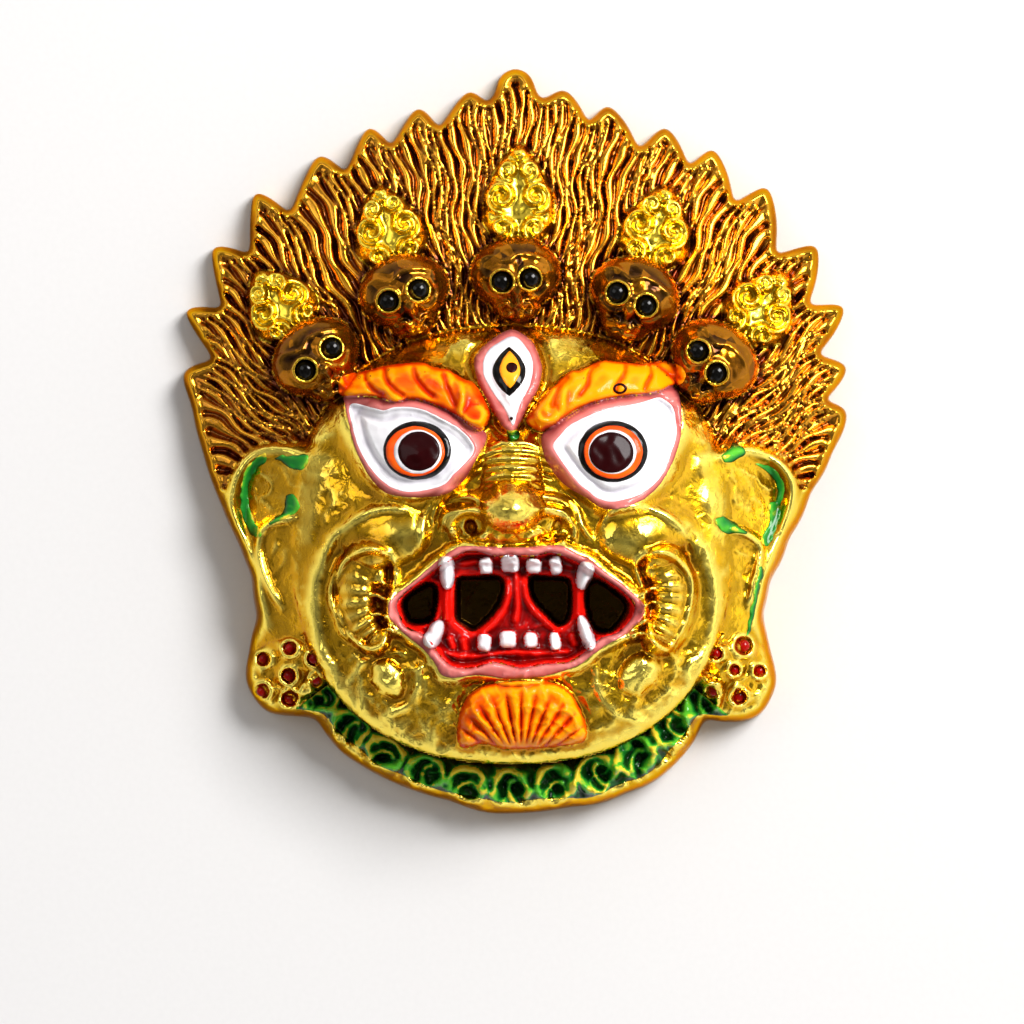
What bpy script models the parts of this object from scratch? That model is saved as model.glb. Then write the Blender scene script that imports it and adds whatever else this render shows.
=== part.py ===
"""Cast mask of a wrathful guardian: a bulging face with three eyes, five skulls and a fan of flame hair.

The mask is one hollow casting. It lies on its open back: +Z out of the face, +Y to the top of the hair.
Everything carved is placed in hundredths of the mask's height, measured from the middle of its outline,
so at life size one hundredth is one millimetre. Rises of the carving are hundredths too.
A place is (right, up). A lean is in degrees, anticlockwise as seen from the front.
"""

import math

import bmesh
import bpy
import numpy as np
from mathutils import Vector
from mathutils.geometry import delaunay_2d_cdt

# Driving dimensions, in metres.
MASK_HEIGHT = 0.100  # from the curls under the chin to the knob on top
FACE_DEPTH = 0.027  # from the back plane to the tip of the nose
WALL = 0.0020  # metal left between the front and the hollow back
RIM_WIDTH = 0.0022  # flat rim that the mask lies on, at its narrowest
EDGE_HEIGHT = 0.0012  # straight side of the outline, before it rounds over
EDGE_ROUND = 0.0016  # width of that rounding

HUNDREDTH = MASK_HEIGHT / 100.0
NOSE_TIP_RISE = 27.0  # rise of the nose tip in the carving, which FACE_DEPTH makes real
RISE = FACE_DEPTH / NOSE_TIP_RISE
OUTLINE_MIDDLE = (0.0, -1.3)  # every ray from here crosses the outline once

# Flames of the hair, from the knob on top down each side.
KNOB = [(-3.7, 45.0), (-2.5, 46.6), (-2.3, 48.9), (0.0, 50.15), (2.3, 48.9), (2.7, 46.5), (3.6, 45.4)]
RIGHT_TIPS = [(6.5, 47.0), (12.3, 44.9), (20.0, 42.0), (26.4, 39.1), (33.7, 34.0), (40.4, 26.1),
              (44.2, 17.9), (44.57, 9.8), (44.4, 4.0)]
LEFT_TIPS = [(-6.2, 46.8), (-13.0, 44.6), (-19.6, 42.0), (-26.3, 38.2), (-34.9, 33.2), (-40.6, 25.8),
             (-44.3, 17.3), (-44.5, 8.9)]
VALLEY_SHARE = 0.75  # how far towards the next tip down the valley lies
VALLEY_DEPTH = 0.38  # its depth, as a share of the step between the tips
CORNER_ROUND = 0.24  # how much of each step between corners is rounded off
RIGHT_SIDE = [(42.6, -1.5), (39.6, -7.0), (36.7, -13.2), (34.1, -18.9), (33.1, -23.4), (34.2, -28.0),
              (35.3, -32.6), (33.2, -36.9), (29.4, -37.9), (25.4, -37.2)]
CHIN_SIDE = [(24.2, -40.4), (20.6, -44.4), (15.2, -47.2), (7.8, -49.2), (0.0, -50.15), (-8.4, -48.5),
             (-15.4, -46.4), (-21.6, -43.1), (-25.1, -39.8)]
LEFT_SIDE = [(-26.6, -37.2), (-29.4, -37.1), (-33.6, -36.6), (-36.1, -33.0), (-35.6, -28.4), (-34.4, -23.8),
             (-35.2, -18.4), (-37.2, -13.6), (-39.6, -8.3), (-41.9, -1.8), (-43.4, 4.6)]

# Hair strands, which run in from each flame towards a place behind the face.
STRAND_COUNT = 6  # in each flame
LAST_STRAND_COUNT = 10  # in the lowest flame on each side
STRAND_RISE = 0.95
STRAND_WAVE = 0.45
STRAND_WAVE_LENGTH = 13.0
STRAND_STEP = 3.9  # spacing of the points along a strand
STRAND_REACH = 0.62  # share of the way to the place behind the face
FLAME_GATHER = 0.62  # how far the strands of a flame draw in to its tip
HAIR_EDGE = 1.3  # smooth edge left outside the strands
HAIR_ENDS = ((3.5, 45.2), (40.0, -6.5))  # where the first flame starts and the last one ends, on the right
FAN_HEIGHTS = (-8.0, 10.0, 30.0)  # at this height of a strand's end ...
FAN_CENTRES = (-12.0, -22.0, -27.0)  # ... it points at this height on the middle line

PLATE_MIDDLE = (0.0, -4.0)
PLATE_HALF = (44.0, 50.0)
PLATE_EDGE_RISE = 4.2
PLATE_CROWN = 6.6

HEAD_CENTRE = (-0.4, -14.1)
HEAD_HALF = (29.8, 29.3)
HEAD_SQUARENESS = 2.3
HEAD_EDGE_RISE = 8.7
HEAD_RISE = 19.6
JAW_EDGE_RISE = 2.6  # how much higher the edge stands at the chin
JAW_FROM, JAW_TO = -14.0, -34.0

# Skulls and the scrolled finials behind them: (right, up, lean).
SKULLS = [(-26.4, 10.6, 33.0), (-14.7, 19.3, 18.0), (0.1, 21.6, 2.0), (15.8, 18.9, -20.0),
          (26.4, 10.3, -36.0)]
CRANIUM = (6.1, 4.9, 0.6)  # half width, half height, place up from the skull's middle
SKULL_JAW = (3.5, 3.0, -2.9)
SKULL_BASE_RISE = 10.6
CRANIUM_RISE = 5.2
SKULL_JAW_RISE = 3.9
SKULL_EYES = [(-1.95, -0.4), (1.95, -0.4)]
SKULL_EYE_RADIUS = 1.55
SKULL_EYE_GROOVE = 1.2
FINIALS = [(-31.7, 18.3, 36.0), (-17.0, 28.4, 14.0), (0.5, 32.6, 0.0), (19.0, 28.4, -14.0),
           (33.2, 17.9, -34.0)]
FINIAL_HALF_LENGTHS = [5.2, 5.8, 7.0, 5.8, 5.4]
FINIAL_HALF_WIDTH = 4.5
FINIAL_TAPER = 0.38
FINIAL_RISE = 1.7
SCROLLS = [(-0.5, -0.6, 0.42), (0.5, -0.6, 0.42), (-0.42, 0.06, 0.4), (0.42, 0.06, 0.4), (0.0, 0.6, 0.36)]
SCROLL_RISE = 1.0

# Eyes: loops of the white, and (right, up) of each iris.
LEFT_EYE = [(-22.2, 4.8), (-17.9, 4.4), (-12.8, 3.9), (-8.5, 2.0), (-5.5, -1.1), (-7.1, -3.6),
            (-10.3, -6.0), (-13.7, -6.8), (-17.2, -5.8), (-19.9, -2.7), (-21.6, 1.1)]
RIGHT_EYE = [(5.1, -0.9), (7.4, 1.9), (12.0, 3.9), (17.9, 5.4), (21.2, 4.8), (21.9, 1.6), (21.0, -2.2),
             (18.8, -5.4), (15.2, -7.8), (11.2, -7.5), (8.1, -5.4), (6.3, -3.0)]
IRISES = [(-13.0, -1.5), (12.9, -1.5)]
IRIS_RADIUS = 4.5
IRIS_RISE = 0.35
EYEBALL = (9.8, 8.6)
EYEBALL_RISE = 3.4
LID_WIDTH = 1.7
LID_RISE = 1.1
THIRD_EYE = [(-0.4, 14.3), (2.4, 12.6), (3.8, 9.6), (3.2, 6.2), (1.2, 3.0), (-0.3, 0.3), (-1.9, 3.0),
             (-4.0, 6.2), (-4.6, 9.6), (-3.2, 12.6)]
THIRD_EYE_RISE = 1.9
THIRD_EYE_BALL = (-0.6, 9.2, 2.6, 3.6)
LEFT_BROW = [(-23.9, 7.4), (-18.1, 9.9), (-12.1, 10.3), (-7.7, 8.4), (-4.6, 5.3), (-3.5, 2.6), (-4.4, 1.0),
             (-7.3, 2.2), (-11.4, 4.1), (-16.1, 4.9), (-22.9, 5.3)]
RIGHT_BROW = [(23.2, 8.6), (18.8, 10.3), (11.4, 10.0), (7.3, 8.7), (3.8, 5.1), (3.0, 2.6), (3.7, 1.6),
              (6.0, 3.0), (11.4, 5.0), (16.8, 6.2), (22.7, 6.4)]
BROW_RISE = 3.2
BROW_ROUND = 2.0
BROW_TWIST = 0.3
BROW_TWIST_LENGTH = 2.7
BROW_CURLS = [(-5.2, 2.6), (4.6, 3.0)]
BROW_CURL_RADIUS = 1.9

# Nose.
NOSE_BRIDGE_HEIGHTS = (-9.0, -4.0, 1.0)
NOSE_BRIDGE_HALF = (4.6, 3.9, 3.2)
NOSE_BRIDGE_RISES = (3.4, 2.2, 0.8)
NOSE_WRINKLE = 0.34
NOSE_WRINKLE_LENGTH = 1.5
NOSE_MOUND = (-0.3, -9.6, 9.8, 6.4)
NOSE_MOUND_RISE = 3.0
NOSE_TIP = (-0.3, -9.4, 4.5, 3.8)
NOSE_TIP_BASE = 20.8
NOSE_WINGS = [(-6.9, -11.2, 3.9, 3.1), (5.2, -11.3, 3.8, 3.1)]
NOSE_WING_BASE = 18.6
NOSE_WING_RISE = 4.3
NOSTRILS = [(-6.5, -11.8, 1.9, 1.6), (4.9, -11.9, 1.8, 1.6)]
NOSTRIL_DEPTH = 2.6

# Cheeks: lobes (right, up, lean), the fold outside them, curled tufts in their hollows and knobs below.
CHEEK_LOBES = [(-16.5, -12.6, 8.0), (16.9, -12.6, -8.0)]
CHEEK_LOBE = (5.8, 4.1)
CHEEK_LOBE_RISE = 2.5
CHEEK_FOLD = [(10.9, -9.6), (17.0, -8.7), (21.8, -10.7), (25.2, -14.6), (26.9, -20.2), (26.4, -26.9),
              (23.9, -32.3)]
CHEEK_FOLD_RISE = 0.9
CHEEK_FOLD_WIDTH = 1.3
TUFTS = [(-19.8, -21.4, 1.0), (19.8, -21.2, -1.0)]
TUFT_HOLLOW = (4.2, 6.9)
TUFT_HOLLOW_DEPTH = 1.7
TUFT_RIM = 0.9
TUFT_PATH = [(1.9, 2.2), (2.1, 4.0), (0.2, 4.7), (-1.7, 2.9), (-2.2, 0.0), (-1.5, -3.4), (0.8, -5.0)]
TUFT_HALF_WIDTH = 1.75
TUFT_RISE = 3.1
TUFT_RIBS = 9
TUFT_RIB = 0.22
JAW_KNOBS = [(-16.0, -32.0, 35.0), (17.4, -31.7, -35.0)]
JAW_KNOB = (2.9, 2.6)
JAW_KNOB_RISE = 2.6
JAW_KNOB_HOLLOW = (4.8, 3.8)
JAW_KNOB_HOLLOW_DEPTH = 0.9

# Mouth: loops of the lips, the pits between the bars of the gums, and the teeth.
LIP_OUTER = [(-16.6, -21.8), (-12.9, -17.6), (-8.6, -14.9), (-4.7, -14.0), (0.0, -14.3), (5.0, -14.0),
             (8.3, -14.8), (11.8, -17.0), (15.2, -19.5), (17.3, -22.6), (15.6, -25.4), (11.9, -27.7),
             (9.6, -29.9), (6.0, -31.3), (0.0, -32.0), (-5.0, -31.7), (-9.4, -31.4), (-11.6, -29.0),
             (-13.8, -26.0), (-15.9, -24.2)]
LIP_INNER = [(-15.3, -21.9), (-12.0, -18.7), (-8.1, -16.2), (-4.7, -15.4), (0.0, -15.7), (6.0, -15.4),
             (9.3, -17.0), (12.6, -19.4), (15.9, -22.3), (14.3, -24.9), (11.6, -26.7), (9.3, -28.4),
             (4.7, -29.6), (0.0, -30.0), (-5.4, -29.9), (-9.0, -29.0), (-11.1, -26.8), (-14.0, -24.3)]
LIP_RISE = 1.9
MOUTH_DEPTH = 2.6
PIT_FLOOR_RISE = 9.5
PIT_DRAFT = 0.6  # how far a pit's wall leans in on its way down
MOUTH_PITS = [
    [(-15.0, -21.7), (-12.3, -19.2), (-10.4, -19.4), (-10.0, -21.6), (-10.6, -24.0), (-12.8, -24.9),
     (-14.4, -23.8)],
    [(-7.9, -18.7), (-5.8, -18.2), (-1.8, -18.2), (-1.2, -20.4), (-2.1, -23.0), (-4.2, -24.7), (-5.9, -25.5),
     (-7.8, -23.6), (-8.3, -21.2)],
    [(1.7, -18.3), (7.5, -18.3), (7.7, -21.5), (7.3, -24.0), (5.9, -24.8), (3.5, -23.3), (2.0, -21.2)],
    [(9.7, -19.2), (11.4, -18.9), (13.2, -20.5), (15.0, -22.1), (13.8, -24.2), (11.8, -25.5), (10.2, -24.9),
     (9.2, -22.2)],
]
# (right, up, half width, half height, lean)
TEETH = [(-3.9, -16.9, 0.95, 1.2, 0), (-0.7, -16.7, 1.15, 1.15, 0), (2.6, -16.9, 1.1, 1.0, 0),
         (5.8, -16.8, 0.95, 1.3, 8), (-4.3, -26.9, 1.05, 1.2, 0), (-0.8, -26.6, 1.2, 1.2, 0),
         (2.4, -26.6, 0.95, 1.1, 0), (5.7, -26.9, 1.05, 1.15, 10)]
FANGS = [(-8.9, -17.9, 0.95, 2.4, 3), (9.1, -18.1, 1.05, 2.2, -14), (-10.8, -25.9, 1.0, 2.0, -28),
         (9.6, -25.9, 0.85, 2.4, 22)]
TOOTH_RISE = 2.0
FANG_RISE = 3.2

# Chin beard: locks fan out upwards from a place under the chin.
BEARD_ROOT = (0.8, -43.5)
BEARD_RADII = (2.6, 10.8)
BEARD_HALF_ANGLE = 66.0
BEARD_LOCKS = 11
BEARD_RISE = 3.0
BEARD_LOCK_RISE = 0.35

# Ears, with their hanging ornaments, and the curled collar under the chin.
LEFT_EAR = [(-27.6, -0.6), (-32.6, -1.4), (-35.8, -4.0), (-37.0, -8.1), (-36.2, -12.1), (-35.0, -15.9),
            (-33.6, -20.5), (-32.8, -24.4)]
RIGHT_EAR = [(28.0, -1.6), (33.0, -2.4), (36.0, -5.0), (36.6, -8.9), (35.7, -12.6), (34.2, -16.3),
             (33.2, -20.9), (32.3, -24.6)]
EAR_FOLD_RISE = 2.3
EAR_FOLD_WIDTH = 1.25
EAR_BOWLS = [(-31.6, -7.2, 3.7, 4.2), (-30.8, -16.2, 2.3, 4.4), (31.2, -7.6, 3.8, 4.2),
             (30.4, -16.8, 2.4, 4.4)]
EAR_BOWL_DEPTH = 1.5
EARRINGS = [(-30.6, -32.0), (30.2, -32.2)]
EARRING_RADIUS = 5.4
EARRING_RISE = 2.4
EARRING_BEADS = 6
EARRING_BEAD_RING = 3.5
EARRING_BEAD_RADIUS = 1.45
EARRING_BEAD_RISE = 0.8
COLLAR_CURLS = 11
COLLAR_FROM, COLLAR_TO = -142.0, -39.0
COLLAR_RADIUS = 32.3
COLLAR_CURL_RADIUS = 2.6
COLLAR_RISE = 2.0

# How finely the surfaces are faceted.
FRONT_FACET_COUNT = 7500
SAMPLE_STEP = 0.3
CLOSEST_POINTS = 0.42
POINTS_PER_ROUND = 150
RING_COUNT, RING_COUNT_GROWTH = 3.8, 1.5  # points on a small ring, and more for each hundredth of its radius
GRID_STEP = 3.4
BACK_STEP = 3.3
HOLLOW_COUNT = 72
RAY_COUNT = 720  # directions in which the outline's radius is read
# Points follow these loops, this deep inside them.
LOOP_DEPTHS = [*((pit, (0.0, PIT_DRAFT)) for pit in MOUTH_PITS), (LIP_INNER, (0.0, -0.7)), (LIP_OUTER, (-0.3,)),
               (LEFT_EYE, (0.15, -0.85, -1.9)), (RIGHT_EYE, (0.15, -0.85, -1.9)), (THIRD_EYE, (0.8, -0.4, -1.3)),
               (LEFT_BROW, (1.3, 0.4, -0.05)), (RIGHT_BROW, (1.3, 0.4, -0.05))]


def smooth_step(low, high, value):
    """0 at low, 1 at high, and a smooth rise between."""
    share = np.clip((value - low) / (high - low), 0.0, 1.0)
    return share * share * (3.0 - 2.0 * share)


def turned(x, y, centre_x, centre_y, lean):
    """Distances across and along a piece of carving that leans."""
    c, s = math.cos(math.radians(lean)), math.sin(math.radians(lean))
    return (x - centre_x) * c + (y - centre_y) * s, (y - centre_y) * c - (x - centre_x) * s


def placed(across, along, centre_x, centre_y, lean):
    """The reverse of turned: places of a leaning piece of carving."""
    c, s = math.cos(math.radians(lean)), math.sin(math.radians(lean))
    return centre_x + across * c - along * s, centre_y + across * s + along * c


def dome(across, along, half_width, half_height, roundness=0.5):
    """1 at the middle of an oval and 0 from its edge on. A roundness of 0.5 is an ellipsoid."""
    return np.clip(1.0 - (across / half_width) ** 2 - (along / half_height) ** 2, 0.0, None) ** roundness


def bell(value, width):
    return np.exp(-((value / width) ** 2))


def pillow(depth, width):
    """0 on a loop, rounding over to 1 at a depth inside it."""
    share = np.clip(depth / width, 0.0, 1.0)
    return np.sqrt(share * (2.0 - share))


def smooth_path(path, closed=True, per_span=4):
    """A curve through the points of a path."""
    points = np.array(path, float)
    count = len(points)
    curve = []
    for i in range(count if closed else count - 1):
        near = [points[(i + k) % count if closed else np.clip(i + k, 0, count - 1)] for k in (-1, 0, 1, 2)]
        linear = near[2] - near[0]
        square = 2 * near[0] - 5 * near[1] + 4 * near[2] - near[3]
        cube = 3 * (near[1] - near[2]) + near[3] - near[0]
        shares = np.arange(per_span) / per_span
        curve += [near[1] + 0.5 * t * (linear + t * (square + t * cube)) for t in shares]
    return np.array(curve if closed else [*curve, points[-1]])


def path_distance(x, y, path, closed=False):
    """(distance to a path, how far along it the nearest place is, 0 to 1)."""
    points = np.array(path, float)
    ends = np.roll(points, -1, axis=0) if closed else points[1:]
    best = np.full(np.shape(x), np.inf)
    share = np.zeros(np.shape(x))
    for i, (start, end) in enumerate(zip(points, ends)):
        step = end - start
        t = np.clip(((x - start[0]) * step[0] + (y - start[1]) * step[1]) / (step @ step), 0.0, 1.0)
        distance = np.hypot(x - start[0] - t * step[0], y - start[1] - t * step[1])
        share = np.where(distance < best, (i + t) / len(ends), share)
        best = np.minimum(distance, best)
    return best, share


def inside_depth(x, y, loop, reach=6.0):
    """Distance to a closed loop, positive inside it. Places further out than reach get -reach."""
    points = np.array(loop, float)
    low, high = points.min(axis=0) - reach, points.max(axis=0) + reach
    near = (x > low[0]) & (x < high[0]) & (y > low[1]) & (y < high[1])
    near_x, near_y = x[near], y[near]
    inside = np.zeros(near_x.shape, bool)
    for (ax, ay), (bx, by) in zip(points, np.roll(points, -1, axis=0)):
        if ay != by:
            crossing = (bx - ax) * (near_y - ay) / (by - ay) + ax
            inside ^= ((ay > near_y) != (by > near_y)) & (near_x < crossing)
    distance = path_distance(near_x, near_y, loop, closed=True)[0]
    depth = np.full(np.shape(x), -reach)
    depth[near] = np.where(inside, distance, np.maximum(-distance, -reach))
    return depth


def flame_corners(tips):
    """Tips of the flames down the right side, with the valley after each but the last."""
    corners = []
    for tip, following in zip(np.array(tips[:-1]), np.array(tips[1:])):
        step = following - tip
        corners += [tip, tip + step * VALLEY_SHARE + np.array((step[1], -step[0])) * VALLEY_DEPTH]
    return [*corners, np.array(tips[-1])]


def both_sides():
    """The flames' corners down the right side, and down the left side as if it were the right one."""
    return flame_corners(RIGHT_TIPS), flame_corners([(-across, up) for across, up in LEFT_TIPS])


def mask_outline():
    """The outline, clockwise from the knob, with rounded corners."""
    right, left = both_sides()
    left = [corner * (-1.0, 1.0) for corner in left[::-1]]
    corners = np.array([*KNOB, *right, *RIGHT_SIDE, *CHIN_SIDE, *LEFT_SIDE, *left])
    loop = []
    for before, corner, after in zip(np.roll(corners, 1, axis=0), corners, np.roll(corners, -1, axis=0)):
        first, last = corner + (before - corner) * CORNER_ROUND, corner + (after - corner) * CORNER_ROUND
        loop += [first, 0.5 * corner + 0.25 * (first + last), last]
    return np.array(loop)


def head_share(x, y):
    """0 at the head's centre, 1 at its edge."""
    across, along = np.abs(x - HEAD_CENTRE[0]) / HEAD_HALF[0], np.abs(y - HEAD_CENTRE[1]) / HEAD_HALF[1]
    return (across**HEAD_SQUARENESS + along**HEAD_SQUARENESS) ** (1.0 / HEAD_SQUARENESS)


def plate_rise(x, y):
    """The gently domed plate that carries the hair, the ears and the collar."""
    share = ((x - PLATE_MIDDLE[0]) / PLATE_HALF[0]) ** 2 + ((y - PLATE_MIDDLE[1]) / PLATE_HALF[1]) ** 2
    return PLATE_EDGE_RISE + PLATE_CROWN * np.maximum(1.0 - share, -0.12)


def head_rise(x, y):
    """The bulging head. At the chin its edge stands well over the collar."""
    edge = HEAD_EDGE_RISE + JAW_EDGE_RISE * smooth_step(JAW_FROM, JAW_TO, y)
    return edge + (HEAD_RISE - edge) * np.sqrt(np.clip(1.0 - head_share(x, y) ** 2.4, 0.0, None))


def add_ears(z, x, y):
    for fold in (LEFT_EAR, RIGHT_EAR):
        z = z + EAR_FOLD_RISE * bell(path_distance(x, y, smooth_path(fold, closed=False))[0], EAR_FOLD_WIDTH)
    for across, up, half_width, half_height in EAR_BOWLS:
        z = z - EAR_BOWL_DEPTH * dome(x - across, y - up, half_width, half_height, 1.0)
    return z


def bead_places(centre):
    """The middle bead of an ear ornament and the ring of beads round it."""
    ring = oval(*centre, EARRING_BEAD_RING, EARRING_BEAD_RING, 360.0 * 0.25 / EARRING_BEADS, EARRING_BEADS)
    return [centre, *ring]


def add_earrings(z, x, y):
    for centre in EARRINGS:
        z = z + EARRING_RISE * dome(x - centre[0], y - centre[1], EARRING_RADIUS, EARRING_RADIUS, 0.6)
        for bead_x, bead_y in bead_places(centre):
            bead = dome(x - bead_x, y - bead_y, EARRING_BEAD_RADIUS, EARRING_BEAD_RADIUS, 0.7)
            z = z + EARRING_BEAD_RISE * bead
    return z


def collar_places():
    """The middles of the collar's curls."""
    angles = np.radians(np.linspace(COLLAR_FROM, COLLAR_TO, COLLAR_CURLS))
    return COLLAR_RADIUS * np.column_stack((np.cos(angles), np.sin(angles))) + HEAD_CENTRE


def add_collar(z, x, y):
    for centre_x, centre_y in collar_places():
        ring = np.hypot(x - centre_x, y - centre_y) / COLLAR_CURL_RADIUS
        z = z + COLLAR_RISE * bell(ring - 0.62, 0.3) + 0.5 * COLLAR_RISE * bell(ring, 0.25)
    return z


def finial_share(across, along, half_length):
    """0 at the middle of a finial's leaf shape, 1 at its edge: full below and narrower above."""
    half_width = FINIAL_HALF_WIDTH * np.clip(1.0 - FINIAL_TAPER * along / half_length, 0.4, 1.2)
    return np.hypot(across / half_width, along / half_length)


def add_finials(z, x, y):
    for (centre_x, centre_y, lean), half_length in zip(FINIALS, FINIAL_HALF_LENGTHS):
        across, along = turned(x, y, centre_x, centre_y, lean)
        z = z + FINIAL_RISE * smooth_step(1.02, 0.84, finial_share(across, along, half_length))
        for scroll_across, scroll_along, radius in SCROLLS:
            ring = np.hypot(across - scroll_across * FINIAL_HALF_WIDTH, along - scroll_along * half_length)
            ring = ring / (radius * FINIAL_HALF_WIDTH)
            z = z + SCROLL_RISE * (bell(ring - 0.66, 0.3) + 0.7 * bell(ring, 0.3))
    return z


def add_skulls(z, x, y):
    for centre_x, centre_y, lean in SKULLS:
        across, along = turned(x, y, centre_x, centre_y, lean)
        cranium = dome(across, along - CRANIUM[2], CRANIUM[0], CRANIUM[1])
        jaw = dome(across, along - SKULL_JAW[2], SKULL_JAW[0], SKULL_JAW[1])
        skull = SKULL_BASE_RISE + np.maximum(CRANIUM_RISE * cranium, SKULL_JAW_RISE * jaw)
        for side, up in SKULL_EYES:
            ring = np.hypot(across - side, along - up) / SKULL_EYE_RADIUS
            skull = skull - SKULL_EYE_GROOVE * bell(ring - 0.85, 0.22)
        z = np.where((cranium > 0.0) | (jaw > 0.0), np.maximum(z, skull), z)
    return z


def add_brows(z, x, y):
    for brow, (curl_x, curl_y) in zip((LEFT_BROW, RIGHT_BROW), BROW_CURLS):
        depth = inside_depth(x, y, smooth_path(brow))
        twist = np.cos(2 * math.pi * (np.abs(x) - 0.5 * (y - curl_y)) / BROW_TWIST_LENGTH)
        z = z + pillow(depth, BROW_ROUND) * (BROW_RISE + BROW_TWIST * twist)
        z = z + 0.8 * dome(x - curl_x, y - curl_y, BROW_CURL_RADIUS, BROW_CURL_RADIUS)
    return z


def add_eyes(z, x, y):
    for eye, (iris_x, iris_y) in zip((LEFT_EYE, RIGHT_EYE), IRISES):
        depth = inside_depth(x, y, smooth_path(eye))
        ball = EYEBALL_RISE * dome(x - iris_x, y - iris_y, *EYEBALL, 0.8)
        z = z + ball * smooth_step(-LID_WIDTH, 0.0, depth) - 0.5 * smooth_step(0.0, 0.5, depth)
        z = z + LID_RISE * bell(depth + 0.5 * LID_WIDTH, 0.65 * LID_WIDTH)
        z = z + IRIS_RISE * smooth_step(1.04, 0.92, np.hypot(x - iris_x, y - iris_y) / IRIS_RADIUS)
    return z


def add_third_eye(z, x, y):
    depth = inside_depth(x, y, smooth_path(THIRD_EYE))
    centre_x, centre_y, half_width, half_height = THIRD_EYE_BALL
    z = z + THIRD_EYE_RISE * pillow(depth + 0.6, 1.6) - 0.6 * bell(depth + 1.3, 0.7)
    return z + 0.8 * dome(x - centre_x, y - centre_y, half_width, half_height, 0.8)


def add_nose(z, x, y):
    half_width = np.interp(y, NOSE_BRIDGE_HEIGHTS, NOSE_BRIDGE_HALF)
    bridge = np.clip(1.0 - ((x - NOSE_TIP[0]) / half_width) ** 2, 0.0, None) ** 0.7
    low, high = NOSE_BRIDGE_HEIGHTS[0], NOSE_BRIDGE_HEIGHTS[-1]
    span = smooth_step(low - 2.5, low, y) * smooth_step(high + 1.5, high - 1.5, y)
    wrinkle = NOSE_WRINKLE * np.cos(2 * math.pi * (y + 0.05 * x * x) / NOSE_WRINKLE_LENGTH)
    z = z + bridge * span * (np.interp(y, NOSE_BRIDGE_HEIGHTS, NOSE_BRIDGE_RISES) + wrinkle * (y > low))
    mound_x, mound_y, mound_half, mound_high = NOSE_MOUND
    z = z + NOSE_MOUND_RISE * dome(x - mound_x, y - mound_y, mound_half, mound_high, 1.5)
    wings = [(wing, NOSE_WING_BASE, NOSE_WING_RISE) for wing in NOSE_WINGS]
    for (centre_x, centre_y, half_wide, half_high), base, rise in (
        *wings, (NOSE_TIP, NOSE_TIP_BASE, NOSE_TIP_RISE - NOSE_TIP_BASE)
    ):
        lump = dome(x - centre_x, y - centre_y, half_wide, half_high)
        z = np.where(lump > 0.0, np.maximum(z, base + rise * lump), z)
    for hole_x, hole_y, half_wide, half_high in NOSTRILS:
        hole = dome(x - hole_x, y - hole_y, half_wide, half_high, 1.0)
        z = z - NOSTRIL_DEPTH * smooth_step(0.0, 0.45, hole)
    return z


def add_cheeks(z, x, y):
    for centre_x, centre_y, lean in CHEEK_LOBES:
        z = z + CHEEK_LOBE_RISE * dome(*turned(x, y, centre_x, centre_y, lean), *CHEEK_LOBE, 0.75)
    distance = path_distance(np.abs(x), y, smooth_path(CHEEK_FOLD, closed=False))[0]
    z = z + CHEEK_FOLD_RISE * bell(distance, CHEEK_FOLD_WIDTH)
    for centre_x, centre_y, side in TUFTS:
        across, along = (x - centre_x) * side, y - centre_y
        share = np.hypot(across / TUFT_HOLLOW[0], along / TUFT_HOLLOW[1])
        z = z + TUFT_RIM * bell(share - 1.03, 0.14) - TUFT_HOLLOW_DEPTH * smooth_step(1.0, 0.8, share)
        distance, passed = path_distance(across, along, smooth_path(TUFT_PATH, closed=False))
        tube = np.sqrt(np.clip(1.0 - (distance / TUFT_HALF_WIDTH) ** 2, 0.0, None))
        z = z + tube * (TUFT_RISE + TUFT_RIB * np.cos(2 * math.pi * TUFT_RIBS * passed))
    for centre_x, centre_y, lean in JAW_KNOBS:
        across, along = turned(x, y, centre_x, centre_y, lean)
        share = np.hypot(across / JAW_KNOB_HOLLOW[0], along / JAW_KNOB_HOLLOW[1])
        z = z + 0.5 * bell(share - 1.0, 0.16) - JAW_KNOB_HOLLOW_DEPTH * smooth_step(1.0, 0.65, share)
        z = z + JAW_KNOB_RISE * dome(across, along, *JAW_KNOB, 0.6)
    return z


def add_mouth(z, x, y):
    outer, inner = inside_depth(x, y, smooth_path(LIP_OUTER)), inside_depth(x, y, smooth_path(LIP_INNER))
    z = z + LIP_RISE * np.where(inner < 0.0, pillow(outer + 0.9, 1.7) * pillow(0.2 - inner, 0.9), 0.0)
    z = z - MOUTH_DEPTH * smooth_step(0.0, 0.8, inner)
    for tooth_x, tooth_y, half_width, half_height, lean in TEETH:
        across, along = turned(x, y, tooth_x, tooth_y, lean)
        share = np.hypot(across / half_width, along / half_height)
        z = z + TOOTH_RISE * np.sqrt(np.clip(1.0 - share**4, 0.0, None))
    for fang_x, fang_y, half_width, half_height, lean in FANGS:
        z = z + FANG_RISE * dome(*turned(x, y, fang_x, fang_y, lean), half_width, half_height)
    for pit in MOUTH_PITS:
        sunk = np.clip(inside_depth(x, y, smooth_path(pit, per_span=2)) / PIT_DRAFT, 0.0, 1.0)
        z = z + sunk * (PIT_FLOOR_RISE - z)
    return z


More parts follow.
